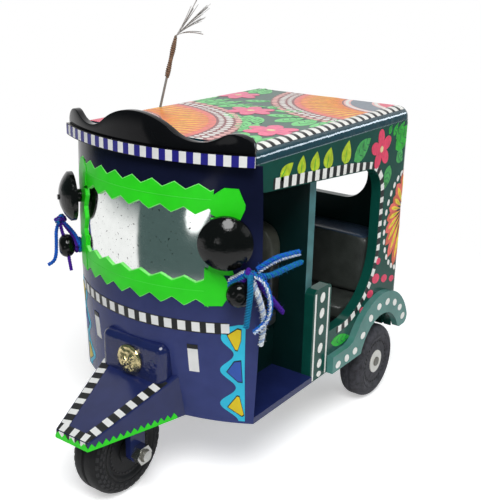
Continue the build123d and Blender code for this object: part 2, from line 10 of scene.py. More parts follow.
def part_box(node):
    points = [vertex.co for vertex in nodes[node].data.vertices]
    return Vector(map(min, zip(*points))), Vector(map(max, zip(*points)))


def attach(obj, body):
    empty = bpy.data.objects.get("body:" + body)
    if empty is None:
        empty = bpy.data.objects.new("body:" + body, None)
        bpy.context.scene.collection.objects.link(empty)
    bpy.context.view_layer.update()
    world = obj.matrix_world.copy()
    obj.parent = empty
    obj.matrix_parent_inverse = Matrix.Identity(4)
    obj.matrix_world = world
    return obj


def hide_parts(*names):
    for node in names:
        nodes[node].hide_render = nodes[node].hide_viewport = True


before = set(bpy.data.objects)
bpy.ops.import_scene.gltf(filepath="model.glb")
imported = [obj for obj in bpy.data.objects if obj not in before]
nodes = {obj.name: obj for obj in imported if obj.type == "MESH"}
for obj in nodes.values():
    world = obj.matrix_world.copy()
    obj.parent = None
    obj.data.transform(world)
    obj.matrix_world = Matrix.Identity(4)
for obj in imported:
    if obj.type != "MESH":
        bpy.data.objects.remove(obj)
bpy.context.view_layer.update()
MM = 0.001
rng = random.Random(11)

# Sizes of the toy in millimetres, as the solids have them
roof_front, roof_rear, roof_half, roof_under, roof_top = 45.5, -95.0, 48.5, 149.0, 155.4
roof_corner, roof_round = 6.0, 5.6
body_half, fender_face, side_round = 49.0, 52.5, 4.6
body_rear = -93.0
cowl_rear = 45.0
# columns: level, half width, bulge
cowl_sections = [(34.0, 50.0, 14.5), (66.0, 51.5, 20.0), (98.0, 52.3, 22.5), (149.0, 51.3, 16.0)]
pane_recess = 0.7
visor_half, visor_side_x, visor_bulge = 52.2, 51.0, 13.6
nose_tip_x, nose_root_x, nose_low = 104.4, 58.0, 34.0
nose_tip_half, nose_root_half, nose_tip_top, nose_root_top = 9.5, 21.5, 38.0, 55.5
front_axle_x, front_radius, front_width = 77.5, 21.5, 15.0
rear_axle_x, rear_wheel_y, rear_radius, rear_width = -69.5, 45.0, 20.0, 13.0
lamp_centre = Vector((68.2, 0, 59.2))
antenna_foot, antenna_lean = Vector((-3.0, -43.5, roof_top)), Vector((-5.7, 5.5, 34.2))
sides = ((1, "left"), (-1, "right"))


# Materials

def connect(tree, shader, sockets):
    """Give each socket a constant, or a link from another node's output."""
    for name, value in sockets.items():
        if isinstance(value, bpy.types.NodeSocket):
            tree.links.new(value, shader.inputs[name])
        else:
            shader.inputs[name].default_value = value


def shade(tree, kind, sockets=None, **settings):
    """A new shader node, set up and connected."""
    made = tree.nodes.new("ShaderNode" + kind)
    for key, value in settings.items():
        setattr(made, key, value)
    connect(tree, made, sockets or {})
    return made


def smooth_range(tree, value, low, high, low_out=0.0, high_out=1.0):
    sockets = {"Value": value, "From Min": low, "From Max": high, "To Min": low_out, "To Max": high_out}
    return shade(tree, "MapRange", sockets, interpolation_type="SMOOTHSTEP").outputs["Result"]


def material(name, colour, rough, metallic=0.0, coat=0.0, vary=0.12, scale=260.0, bump=0.0,
             bump_scale=900.0, sheen=0.0, specular=0.5, specks=None, fade=None):
    """A procedural finish: colour drifting with a noise, a fine bump and, if asked, specks of another colour
    or a factor that changes with height, used for painted light and shade."""
    mat = bpy.data.materials.new(name)
    mat.use_nodes = True
    tree = mat.node_tree
    shader = tree.nodes["Principled BSDF"]
    where = shade(tree, "TexCoord").outputs["Object"]

    def noise(size, detail):
        return shade(tree, "TexNoise", {"Vector": where, "Scale": size, "Detail": detail}).outputs["Fac"]

    ramp = shade(tree, "ValToRGB", {"Fac": noise(scale, 4.0)})
    for element, position, factor in zip(ramp.color_ramp.elements, (0.3, 0.7), (1 - vary, 1 + vary)):
        element.position = position
        element.color = (*[min(1, c * factor) for c in colour], 1)
    last = ramp.outputs["Color"]
    if specks:
        speck_colour, speck_scale, low, high = specks
        share = shade(tree, "MapRange", {"Value": noise(speck_scale, 3.0), "From Min": low, "From Max": high})
        sockets = {"Factor": share.outputs["Result"], "A": last, "B": (*speck_colour, 1)}
        last = shade(tree, "Mix", sockets, data_type="RGBA").outputs["Result"]
    if fade:
        height = shade(tree, "SeparateXYZ", {0: where}).outputs["Z"]
        sockets = {0: last, "Scale": smooth_range(tree, height, *fade)}
        last = shade(tree, "VectorMath", sockets, operation="SCALE").outputs[0]
    if bump:
        lift = shade(tree, "Bump", {"Height": noise(bump_scale, 3.0), "Strength": bump, "Distance": 0.0004})
        connect(tree, shader, {"Normal": lift.outputs["Normal"]})
    connect(tree, shader, {
        "Base Color": last, "Roughness": rough, "Metallic": metallic, "Coat Weight": coat, "Coat Roughness": 0.06,
        "Sheen Weight": sheen, "Specular IOR Level": specular,
    })
    return mat


def enamel(name, colour, rough=0.14, specular=0.35, bump=0.05, vary=0.10, fade=None):
    return material(name, colour, rough, specular=specular, bump=bump, bump_scale=220.0, vary=vary, scale=120.0,
                    fade=fade)


def brush_paint(name, colour, vary=0.16):
    return material(name, colour, 0.30, specular=0.2, bump=0.12, bump_scale=900.0, vary=vary, scale=420.0)


def seat_cover(name, colour, rough, coat=0.15, vary=0.25, bump=0.35, fade=None):
    return material(name, colour, rough, coat=coat, vary=vary, scale=160.0, bump=bump, bump_scale=1500.0, fade=fade)


def yarn_stuff(name, colour):
    return material(name, colour, 0.85, vary=0.35, scale=1500.0, bump=0.6, bump_scale=2600.0, sheen=0.05, specular=0.15)


def tape(name, colour):
    return material(name, colour, 0.38, specular=0.3, bump=0.10, bump_scale=160.0, vary=0.07, scale=90.0)


navy = enamel("navy_gloss", (0.012, 0.019, 0.090), rough=0.12, specular=0.4)
# the cowl's navy is painted lighter towards the bottom and darker towards the top: a painted reflection of the floor
# below and painted shade under the visor
navy_cowl_painted_shading = enamel("navy_cowl_painted_shading", (0.014, 0.019, 0.066), rough=0.12, specular=0.14, fade=(0.06, 0.135, 2.4, 0.36))
navy_lumpy = enamel("navy_lumpy", (0.010, 0.016, 0.080), rough=0.10, specular=0.5, bump=1.0)
teal = enamel("teal_gloss", (0.004, 0.062, 0.046), specular=0.2)
roof_gloss = enamel("roof_gloss", (0.003, 0.042, 0.062), rough=0.08, specular=0.6, bump=0.5)
# a paler copy of the body's teal for the fenders: painted sheen
teal_fender_painted_sheen = enamel("teal_fender_painted_sheen", (0.058, 0.200, 0.175), rough=0.25)
# a paler teal for the partition's edges: painted highlight
teal_edge_painted_highlight = enamel("teal_edge_painted_highlight", (0.05, 0.17, 0.18), rough=0.35, vary=0.3)
# a darker teal for the partition, the rear floor, the axle blocks, the seat bases and the rear panel's inner face:
# painted shade
teal_painted_shade = enamel("teal_painted_shade", (0.002, 0.017, 0.016), rough=0.4, specular=0.2)
black = enamel("black_gloss", (0.004, 0.004, 0.005), rough=0.10, specular=0.14)
black_moulded = material("black_moulded", (0.003, 0.003, 0.003), 0.09, specular=0.35, bump=0.35, bump_scale=620.0)
rubber = material("rubber", (0.006, 0.006, 0.007), 0.5, vary=0.3, bump=0.25, specular=0.25)
# a rubber for the tyres' small blocks, lighter than the front tyre's, so the gaps between them on the front tyre show
# as painted shade
rubber_block_painted_light = material("rubber_block_painted_light", (0.022, 0.022, 0.024), 0.55, vary=0.3, bump=0.25, specular=0.25)
rubber_grey = material("rubber_dusty", (0.030, 0.029, 0.037), 0.7, vary=0.6, scale=420.0, bump=0.35)
nylon = material("nylon", (0.62, 0.61, 0.57), 0.45, vary=0.06, bump=0.05)
axle_dull = material("axle_dull", (0.17, 0.165, 0.14), 0.55, metallic=0.3, vary=0.2, bump=0.15)
zinc = material("zinc_plate", (0.58, 0.58, 0.55), 0.26, metallic=1.0, vary=0.15, bump=0.08)
vinyl = seat_cover("seat_vinyl", (0.032, 0.037, 0.033), 0.42)
# the driver's seat back is painted much darker below its upper part: painted shade
vinyl_olive_painted_shade = seat_cover("seat_vinyl_olive", (0.066, 0.070, 0.056), 0.38, vary=0.3, bump=0.4,
                         fade=(0.088, 0.096, 0.15, 1.0))
# a bluish copy of the seat vinyl for the bench back's upward faces: painted highlight
vinyl_painted_highlight = seat_cover("seat_vinyl_blue", (0.030, 0.052, 0.090), 0.34, coat=0.3)
foil = material("mirror_foil", (0.86, 0.88, 0.86), 0.09, metallic=1.0, vary=0.03, bump=0.04, bump_scale=60.0,
                specks=((0.05, 0.05, 0.05), 900.0, 0.66, 0.70))
gold = material("gold_facets", (0.74, 0.62, 0.33), 0.24, metallic=1.0, vary=0.35, scale=900.0)
white = brush_paint("paint_white", (0.80, 0.80, 0.76), vary=0.05)
ink = brush_paint("paint_black", (0.010, 0.010, 0.011))
pink = brush_paint("paint_pink", (0.76, 0.055, 0.13))
# a lighter copy of the pink for the roof's flowers: painted sheen
pink_roof_painted_sheen = brush_paint("paint_roof_pink_painted_sheen", (0.86, 0.13, 0.27))
pink_pale = brush_paint("paint_pale_pink", (0.84, 0.45, 0.42))
coral = brush_paint("paint_coral", (0.66, 0.13, 0.08))
orange = brush_paint("paint_orange", (0.80, 0.23, 0.06))
coral_pale = brush_paint("paint_pale_coral", (0.80, 0.15, 0.12))
amber = brush_paint("paint_amber", (0.85, 0.43, 0.10))
yellow = brush_paint("paint_yellow", (0.86, 0.62, 0.06))
leaf_green = brush_paint("paint_leaf", (0.055, 0.36, 0.085), vary=0.3)
leaf_light = brush_paint("paint_leaf_light", (0.13, 0.64, 0.17), vary=0.15)
leaf_bright = brush_paint("paint_leaf_bright", (0.02, 0.42, 0.03), vary=0.25)
lime = brush_paint("paint_lime", (0.44, 0.58, 0.02), vary=0.25)
grey_blue = brush_paint("paint_grey_blue", (0.16, 0.20, 0.25))
maroon = brush_paint("paint_maroon", (0.24, 0.05, 0.055))
cream = brush_paint("paint_cream", (0.80, 0.66, 0.35))
deep_green = brush_paint("paint_deep_green", (0.012, 0.085, 0.060))
tape_green = tape("tape_green", (0.018, 0.62, 0.008))
# a paler green for the line along each tape's crease: painted highlight on the fold
tape_crease_painted_highlight = tape("tape_green_crease_painted_highlight", (0.05, 0.68, 0.04))
tape_pale_border = tape("tape_green_pale_border", (0.22, 0.82, 0.18))
tape_turquoise = tape("tape_turquoise", (0.022, 0.46, 0.66))
tape_yellow = tape("tape_yellow", (0.66, 0.50, 0.01))
tape_blue = tape("tape_blue", (0.025, 0.08, 0.36))
tape_white = tape("tape_white", (0.72, 0.73, 0.72))
tape_black = tape("tape_black", (0.010, 0.011, 0.012))
check_blue = tape("tape_navy_blue", (0.012, 0.010, 0.20))
wool_blue = yarn_stuff("wool_blue", (0.008, 0.11, 0.54))
wool_turquoise = yarn_stuff("wool_turquoise", (0.006, 0.17, 0.34))
wool_purple = yarn_stuff("wool_purple", (0.06, 0.010, 0.28))
# a bluish copy of the white wool for some strands of the white yarns: painted shade
wool_white_painted_shade = yarn_stuff("wool_white_painted_shade", (0.34, 0.46, 0.68))
wool_white = yarn_stuff("wool_white", (0.70, 0.74, 0.82))
wire_grey = material("wire_grey", (0.20, 0.20, 0.19), 0.45, vary=0.2, bump=0.1)
thread_brown = material("thread_brown", (0.20, 0.12, 0.075), 0.8, vary=0.4, scale=1200.0, bump=0.6, bump_scale=2600.0)
tinsel = material("tinsel", (0.40, 0.37, 0.35), 0.35, metallic=0.35, vary=0.5, scale=900.0)

# CAD pieces that keep their shape and take a finish
finishes = {
    navy: ["nose", "front_fork", "front_floor"],
    navy_cowl_painted_shading: ["cowl"],
    navy_lumpy: ["headlamp_hood"],
    teal: ["side_panel_left", "side_panel_right", "rear_panel"],
    teal_fender_painted_sheen: ["fender_left", "fender_right"],
    teal_painted_shade: ["partition", "rear_floor", "axle_blocks", "bench_base", "driver_base"],
    black: ["visor_board"],
    foil: ["windscreen"],
    black_moulded: ["mirror_left", "mirror_right", "bead_left", "bead_right"],
    nylon: ["rear_hub_left", "rear_hub_right"],
    rubber: ["front_hub"],
    zinc: ["front_axle_bolt"],
    wire_grey: ["antenna_wire"],
    axle_dull: ["rear_axle"],
}
for finish, names in finishes.items():
    for name in names:
        nodes[name].material_slots[0].material = finish


# Mesh helpers, in millimetres

def add_object(name, data):
    obj = bpy.data.objects.new(name, data)
    bpy.context.collection.objects.link(obj)
    return obj


def turns(count):
    return [2 * pi * i / count for i in range(count)]


def ring(centre, first, second, radius, count):
    """Points round a circle that lies along two unit vectors."""
    return [centre + (first * cos(a) + second * sin(a)) * radius for a in turns(count)]


def skin(rings, size, base=0, loop=False):
    """Faces over rings of points, numbered from base; the ends are closed or the last ring meets the first."""
    faces = []
    for i in range(rings if loop else rings - 1):
        a, b = base + i * size, base + (i + 1) % rings * size
        faces += [[a + k, a + (k + 1) % size, b + (k + 1) % size, b + k] for k in range(size)]
    if not loop:
        faces += [[base + k for k in range(size)][::-1], [base + (rings - 1) * size + k for k in range(size)]]
    return faces


def piece(name, verts, faces, mats, face_mats=None, smooth=None, body="body", slot=None, replaces=()):
    """A mesh object from millimetre points, closed shells turned outward, riding on a body."""
    mesh = bpy.data.meshes.new(name)
    mesh.from_pydata([Vector(v) * MM for v in verts], [], faces)
    for mat in mats:
        mesh.materials.append(mat)
    if face_mats:
        mesh.polygons.foreach_set("material_index", face_mats)
    work = bmesh.new()
    work.from_mesh(mesh)
    bmesh.ops.recalc_face_normals(work, faces=work.faces)
    work.to_mesh(mesh)
    work.free()
    if smooth is not None:
        mesh.polygons.foreach_set("use_smooth", [True] * len(mesh.polygons))
        mesh.set_sharp_from_angle(angle=radians(smooth))
    obj = add_object(name, mesh)
    if replaces:
        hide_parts(*replaces)
    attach(obj, body)
    return obj


far = 1000.0  # past any edge


class Decor:
    """Thin painted or taped shapes on one surface, gathered in one mesh."""

    def __init__(self, name, place, slot, step=0.05, low=-0.06, strips=None):
        self.name, self.place, self.slot, self.step, self.low = name, place, slot, step, low
        self.strips = strips or [(-far, far, -far, far)]
        self.verts, self.faces, self.kinds, self.mats = [], [], [], []

    def put(self, verts, rings, size, mat):
        if mat not in self.mats:
            self.mats.append(mat)
        faces = skin(rings, size, len(self.verts))
        self.verts += verts
        self.faces += faces
        self.kinds += [self.mats.index(mat)] * len(faces)

    def shape(self, outline, mat, layer=1):
        """A shape as thin closed plates, cut into strips where the surface bends."""
        for strip in self.strips:
            part = clip(outline, *strip)
            if len(part) > 2:
                self.put([self.place(u, v, h) for h in (self.low, self.step * layer) for u, v in part],
                         2, len(part), mat)

    def ribbon(self, stations, mat, layer=1, rows=3, turned=False):
        """A strip along its first coordinate from stations (u, v low, v high), bent with the surface."""
        place = (lambda u, v, h: self.place(v, u, h)) if turned else self.place
        shares = [row / rows for row in range(rows + 1)]
        section = [(share, self.low) for share in shares] + [(share, self.step * layer) for share in shares[::-1]]
        verts = [place(u, v0 + (v1 - v0) * share, h) for u, v0, v1 in stations for share, h in section]
        self.put(verts, len(stations), len(section), mat)

    def done(self):
        return piece(self.name, self.verts, self.faces, self.mats, self.kinds, slot=self.slot)


# Outlines

def polar(centre, radius, turn):
    return centre[0] + radius * cos(turn), centre[1] + radius * sin(turn)


def dot(u, v, ru, rv=None, turn=0.0, count=12):
    rv = ru if rv is None else rv
    c, s = cos(turn), sin(turn)
    flat = [(ru * cos(a), rv * sin(a)) for a in turns(count)]
    return [(u + x * c - y * s, v + x * s + y * c) for x, y in flat]


def leaf(base, tip, width, blunt=1.0, count=9):
    """A leaf or drop from base to tip; blunt over 1 moves its widest place towards the base."""
    length = dist(base, tip)
    along = ((tip[0] - base[0]) / length, (tip[1] - base[1]) / length)
    side = []
    for i in range(1, count):
        t = i / count
        side.append((t, width / 2 * sin(pi * t ** (1 / blunt)) ** 0.85))
    line = [(0.0, 0.0)] + side + [(1.0, 0.0)] + [(t, -w) for t, w in reversed(side)]
    return [(base[0] + along[0] * length * t - along[1] * w, base[1] + along[1] * length * t + along[0] * w)
            for t, w in line]


def ray(centre, r0, r1, turn, width, blunt=1.0):
    """A leaf that points away from a centre."""
    return leaf(polar(centre, r0, turn), polar(centre, r1, turn), width, blunt)


def sector(centre, r0, r1, a0, a1):
    count = max(2, int(abs(a1 - a0) * r1 / 3.0))
    steps = [a0 + (a1 - a0) * i / count for i in range(count + 1)]
    return [polar(centre, r1, a) for a in steps] + [polar(centre, r0, a) for a in reversed(steps)]


def clip(outline, low_u, high_u, low_v, high_v):
    """The outline cut back to a rectangle."""
    for axis, limit, sign in ((0, low_u, 1), (0, high_u, -1), (1, low_v, 1), (1, high_v, -1)):
        kept = []
        for p, q in zip(outline, outline[1:] + outline[:1]):
            inside_p = sign * (p[axis] - limit) >= 0
            inside_q = sign * (q[axis] - limit) >= 0
            if inside_p:
                kept.append(p)
            if inside_p != inside_q:
                t = (limit - p[axis]) / (q[axis] - p[axis])
                kept.append((p[0] + (q[0] - p[0]) * t, p[1] + (q[1] - p[1]) * t))
        outline = kept
        if not outline:
            return []
    return outline


def flower(decor, u, v, radius, petals, turn, layer, stretch=1.0, mat=pink):
    """Round petals about a pale centre."""
    for i in range(petals):
        a = turn + 2 * pi * i / petals
        reach = radius * 0.58
        centre = (u + reach * cos(a), v + stretch * reach * sin(a))
        decor.shape(dot(*centre, radius * 0.43, radius * 0.30, a, 14), mat, layer + 0.1 * i)
    decor.shape(dot(u, v, radius * 0.34), mat, layer + 1)
    decor.shape(dot(u, v, radius * 0.16, count=10), cream, layer + 2)


def veined_leaf(decor, base, tip, width, mat, layer, veins=3):
    decor.shape(leaf(base, tip, width, 1.25), mat, layer)
    along = Vector((tip[0] - base[0], tip[1] - base[1]))
    across = Vector((-along.y, along.x)).normalized()
    for i in range(veins):
        t = (i + 1.2) / (veins + 1.4)
        start = Vector(base) + along * t
        for side in (1, -1):
            end = start + along * 0.16 + across * side * width * 0.33
            decor.shape(leaf(tuple(start), tuple(end), 0.5, count=3), deep_green, layer + 1)


# Roof: quarter medallions at two corners, a diagonal of flowers and leaves, dashes along the edges

roof_flat = roof_half - roof_round


def roof_place(u, v, h):
    if abs(v) <= roof_flat:
        return Vector((u, v, roof_top + h))
    a = (abs(v) - roof_flat) / roof_round
    return Vector((u, copysign(roof_flat + (roof_round + h) * sin(a), v),
                   roof_top - roof_round + (roof_round + h) * cos(a)))


def rounded_roof():
    """The roof board with its side and rear edges rubbed to a full round, within the board's own box."""
    path = [(roof_front - 2.0 * i, roof_half, 0.0, 1.0) for i in range(68)]
    for turn, side in ((0, 1), (1, -1)):
        for i in range(13):
            a = pi / 2 * (i + 12 * turn) / 12
            path.append((roof_rear + roof_corner - roof_corner * sin(a),
                         side * (roof_half - roof_corner) + roof_corner * cos(a), -sin(a), cos(a)))
    path += [(x, -y, nx, -ny) for x, y, nx, ny in path[67::-1]]
    steps = 8
    profile = [(0.0, roof_under), (0.0, roof_top - roof_round)]
    for i in range(1, steps + 1):
        a = pi / 2 * i / steps
        profile.append((roof_round * (1 - cos(a)), roof_top - roof_round + roof_round * sin(a)))
    verts = [Vector((x - nx * d, y - ny * d, z)) for x, y, nx, ny in path for d, z in profile]
    n, count = len(profile), len(path)
    faces = [[i * n + k, i * n + k + 1, (i + 1) * n + k + 1, (i + 1) * n + k]
             for i in range(count - 1) for k in range(n - 1)]
    faces.append([i * n for i in range(count)])
    faces.append([i * n + n - 1 for i in range(count)][::-1])
    faces.append(list(range(n)) + [(count - 1) * n + k for k in range(n)][::-1])
    return piece("roof_rounded", verts, faces, [roof_gloss], smooth=40, slot="green_enamel", replaces=["roof"])


rounded_roof()
paint_rear, paint_half = roof_rear + 5.8, 46.0
roof_bends = [-paint_half, -44.4, -roof_flat, roof_flat, 44.4, paint_half]
roof = Decor("roof_painting", roof_place, "green_enamel",
             strips=[(-far, far, low, high) for low, high in zip(roof_bends, roof_bends[1:])])
roof_limits = (paint_rear, roof_front - 0.3, -paint_half, paint_half)


def on_roof(outline, mat, layer):
    roof.shape(clip(outline, *roof_limits), mat, layer)


def quarter_medallion(centre, start):
    quarter = pi / 2
    # columns: inner radius, outer radius, paint
    rings = [
        (0.5, 17.0, pink), (17.0, 21.0, pink_pale), (21.0, 32.0, grey_blue), (32.0, 35.6, pink_pale),
        (35.6, 36.4, maroon), (36.4, 57.6, orange), (57.6, 61.2, coral_pale), (61.2, 73.4, maroon),
    ]
    slices = 8
    for r0, r1, mat in rings:
        for i in range(slices):
            a0 = start + quarter * i / slices
            on_roof(sector(centre, r0, r1, a0, a0 + quarter / slices), mat, 2)
    number = 17
    # columns: step of the ray, inner radius, outer radius, width, bluntness, paint, layer
    rays = [(0.5, 37.0, 59.0, 2.2, 0.7, amber, 3), (0.5, 38.5, 54.0, 0.9, 0.8, yellow, 4),
            (1.0, 36.6, 58.0, 0.7, 1.0, coral, 3)]
    for i in range(number):
        for step, r0, r1, width, blunt, mat, layer in rays:
            on_roof(ray(centre, r0, r1, start + quarter * (i + step) / number, width, blunt), mat, layer)
    # columns: radius, number of beads, radial size, size along the ring, step of the first, paint
    beads = [(19.0, 13, 1.1, 1.2, 0.25, white), (33.8, 20, 1.0, 1.5, 0.25, white), (63.6, 27, 1.35, 1.25, 0.25, white),
             (67.4, 23, 1.75, 1.7, 0.25, white), (71.4, 23, 1.6, 1.75, 0.75, pink_pale)]
    for radius, number, radial, along, step, mat in beads:
        for i in range(number):
            a = start + quarter * (i + step) / number
            on_roof(dot(*polar(centre, radius, a), radial, along, a, 10), mat, 3)


cell_length = 16.8
for i in range(8):
    cell = (paint_rear + cell_length * i, min(paint_rear + cell_length * (i + 1), roof_front - 0.2))
    for low, high, rows in ((-paint_half, -roof_flat, 4), (-roof_flat, roof_flat, 1), (roof_flat, 45.9, 4)):
        roof.ribbon([(u, low, high) for u in cell], deep_green, 1, rows=rows)
quarter_medallion((roof_front, -roof_half), pi / 2)
quarter_medallion((roof_rear, roof_half), -pi / 2)
# columns: base, tip, width
roof_leaves = [
    ((-29, -44), (-50, -43), 6.5), ((-24, -39), (-48, -33), 7.0), ((-24, -32), (-46, -24), 7.0),
    ((-23, -24), (-42, -15), 7.0), ((-28, -18), (-40, -5), 6.5), ((-72, -31), (-90, -37), 7.5),
    ((-71, -46), (-91, -45.5), 7.0), ((-70, -38), (-92, -41), 6.0), ((-47, -24), (-56, -13), 7.0),
    ((-10, -9), (-4, 6), 7.0), ((-14, 3), (3, 12), 6.5), ((-13, 8), (3, 19), 6.5), ((0, 12), (16, 17), 6.5),
    ((2, 19), (22, 22), 6.5), ((-20, 8), (-27, 23), 8.0), ((-33, 4), (-40, 17), 8.0), ((-8, 21), (-25, 26), 8.5),
    ((-5, 33), (-27, 32), 9.0), ((-7, 40), (-34, 41.5), 6.0), ((21, 26), (36, 30), 7.0),
    ((23, 34), (43, 36), 9.0), ((22, 41), (44, 42), 5.5), ((-36, -1), (-46, -2), 6.0),
]
for i, (base, tip, width) in enumerate(roof_leaves):
    veined_leaf(roof, base, tip, width, leaf_light, 2 + 0.11 * (i % 8))
# columns: centre, radius
for (u, v), radius in [((10.5, 31.5), 12.5), ((-24.8, -4.2), 12.0), ((-60.7, -38.0), 12.0)]:
    flower(roof, u, v, radius, 6, 0.35, 4, mat=pink_roof_painted_sheen)
dash_pitch, dash_length = 6.35, 3.6
dash_low, dash_high = 42.0, 46.9
roof.ribbon([(roof_rear + 6.2 + 2.0 * i, dash_low, dash_high) for i in range(67)], ink, 5, rows=6)
for i in range(22):
    u = roof_rear + 6.4 + dash_pitch * i
    if u + dash_length < roof_front:
        roof.ribbon([(end, dash_low, dash_high) for end in (u, u + dash_length)], white, 6, rows=6)
roof.done()


# Sides: checks round the opening, leaves, a flower, a half medallion, ovals, and the post's lines and drops

def opening_path():
    """Points and outward directions along the opening's edge from the eave's front to the sill."""
    eave_z, step = 137.2, 0.7
    slope = (eave_z - 128.5) / 109.0
    tilt = atan(slope)
    points = []
    x = 34.0
    while x > -48.0:
        points.append(((x, eave_z - (cowl_rear - x) * slope), (-sin(tilt), cos(tilt))))
        x -= step
    for i in range(31):
        a = pi / 2 + tilt + (pi / 2 - tilt) * i / 30
        points.append((polar((-49.0, 114.6), 15, a), (cos(a), sin(a))))
    z = 114.0
    while z > 89.0:
        points.append(((-64.0, z), (-1.0, 0.0)))
        z -= step
    for i in range(71):
        a = pi + pi / 2 * i / 70
        points.append((polar((-30, 89), 34, a), (cos(a), sin(a))))
    return points + [((-30 + 0.8 * i, 55.0), (0.0, -1.0)) for i in range(1, 12)]


def side_decor(side, name):
    flat_end = body_rear + side_round

    def place(u, v, h):
        over = flat_end - u
        if over <= 0:
            return Vector((u, side * (body_half + h), v))
        a = over / side_round
        return Vector((flat_end - (side_round + h) * sin(a),
                       side * (body_half - side_round + (side_round + h) * cos(a)), v))

    bends = [far] + [flat_end - 1.3 * i for i in range(5)]
    art = Decor("side_painting_" + name, place, "green_enamel",
                strips=[(low, high, -far, far) for high, low in zip(bends, bends[1:])])
    path = opening_path()
    walked = [0.0]
    for (p, _), (q, _) in zip(path, path[1:]):
        walked.append(walked[-1] + dist(p, q))
    total = walked[-1]

    def check(t0, t1, mat, layer):
        inner, outer = [], []
        steps = max(1, int((t1 - t0) / 1.2))
        for k in range(steps + 1):
            t = t0 + (t1 - t0) * k / steps
            (x, z), (nx, nz) = path[min(range(len(walked)), key=lambda i: abs(walked[i] - t))]
            # the checks get narrower after the eave
            wide = 5.2 - 1.3 * min(1.0, max(0.0, (t / total - 0.32) / 0.12))
            inner.append((x + nx * 0.5, z + nz * 0.5))
            outer.append((x + nx * wide, z + nz * wide))
        art.shape(inner + outer[::-1], mat, layer)

    pitch = 6.3
    t = 0.0
    while t + pitch < total:
        check(t, t + pitch, ink, 1)
        check(t + 1.5, t + 4.7, white, 2)
        t += pitch
    # columns: centre, width, height, lean
    drops = [((24.0, 142.8), 6.4, 11.0, 1.05), ((12.2, 143.2), 6.6, 8.4, 0.2), ((1.1, 142.7), 7.8, 9.0, 0.25),
             ((-10.3, 142.4), 8.4, 9.8, 0.3), ((-26.6, 142.3), 8.8, 11.0, 0.3)]
    for (x, z), width, height, lean in drops:
        upward = pi / 2 + lean
        foot = polar((x, z), -height / 2, upward)
        art.shape(leaf(foot, polar((x, z), height / 2, upward), width, 1.5), lime, 1)
        art.shape(leaf(foot, (x, z + 2), 0.5), leaf_bright, 2)
    # columns: base, tip, width, paint
    leaves = [
        ((-34.0, 136.8), (-49.5, 145.4), 9.0, leaf_green), ((-77.5, 135.2), (-93.6, 146.0), 11.0, leaf_bright),
        ((-77.0, 140.6), (-86.0, 148.6), 4.5, leaf_bright), ((-80.0, 133.2), (-86.5, 128.0), 7.5, leaf_green),
        ((-72.4, 128.0), (-68.6, 116.6), 8.0, leaf_green), ((-69.0, 144.4), (-71.5, 148.8), 3.4, leaf_bright),
        ((-74.0, 142.8), (-78.5, 148.8), 3.6, leaf_bright), ((-22.0, 47.8), (-41.0, 44.8), 6.0, leaf_bright),
    ]
    for i, (base, tip, width, mat) in enumerate(leaves):
        veined_leaf(art, base, tip, width, mat, 1 + 0.12 * i)
    flower(art, -61.6, 138.0, 10.6, 5, 1.45, 3, stretch=0.92)
    centre = (-92.6, 101.0)
    # columns: turn in degrees, length, width; the lower petals are long and the upper ones round
    fan = [(82, 22.0, 8.4), (57, 18.0, 8.2), (33, 15.5, 7.4), (12, 17.5, 6.4), (-7, 19.0, 6.4), (-25, 21.5, 6.8),
           (-42, 24.5, 7.2), (-59, 28.0, 7.6), (-76, 31.5, 7.6)]
    for i, (degrees, reach, width) in enumerate(fan):
        a = radians(degrees)
        art.shape(ray(centre, 1.5, reach, a, width * 0.86, 0.42), (coral, coral_pale)[i % 2], 1 + 0.2 * i)
        art.shape(ray(centre, 0.24 * reach, 0.86 * reach, a, width * 0.34, 0.6), yellow, 4)
        art.shape(ray(centre, 0.3 * reach, 0.7 * reach, a, 0.5), lime, 5)
    for i in range(16):
        a = radians(-86 + 172 * i / 15)
        art.shape(dot(-93 + 21.4 * cos(a), 95 + 27.0 * sin(a), 1.3, 1.75, a * 0.5, 8), white, 1)
    for x, z, rx, rz in [(-65.8, 68.6, 4.1, 2.7), (-75.8, 65.8, 3.4, 2.2), (-84.8, 63.2, 2.8, 1.8),
                         (-67.4, 77.8, 2.4, 1.9), (-60.6, 61.6, 3.5, 2.2), (-53.0, 54.8, 2.8, 1.8)]:
        art.shape(dot(x, z, rx, rz, 0.2), pink, 3)
    for x, wave in ((-5.6, 0.12), (-17.3, -0.12)):
        art.shape([(x - 0.65, 33.6), (x + 0.65, 33.6), (x + 0.65 + wave, 78.6), (x - 0.65 + wave, 78.4)], white, 1)
    for z, tall in ((75.2, 2.6), (67.2, 2.6), (58.6, 2.6), (49.0, 2.6), (40.8, 2.3), (35.2, 1.5)):
        art.shape(dot(-11.6, z, 2.1, tall, 0.35, 12), white, 1)
    art.done()

    dots = Decor("fender_dots_" + name, lambda u, v, h: Vector((u, side * (fender_face + h), v)), "green_enamel")
    for i, (x, z) in enumerate([(-96.0, 38.4), (-91.4, 45.0), (-84.4, 50.2), (-75.4, 53.4), (-65.8, 53.6),
                                (-57.0, 50.0), (-49.2, 43.0), (-41.4, 37.2), (-33.0, 36.4), (-24.4, 36.2)]):
        dots.shape(dot(x, z, 2.5, 1.9, 0.3 * (i % 3), 12), white, 1)
    dots.done()


for side, name in sides:
    side_decor(side, name)


# Cabin: painted shade, a darker teal, on the inner face of the rear panel, round its window

inner_rear = Decor("rear_inner_painted_shade", lambda u, v, h: Vector((body_rear + 5.0 + h, u, v)), "green_enamel")
cabin_half, hole_half, hole_low, hole_high = 43, 29.2, 102.2, 131.2
hole_corner = 14.2
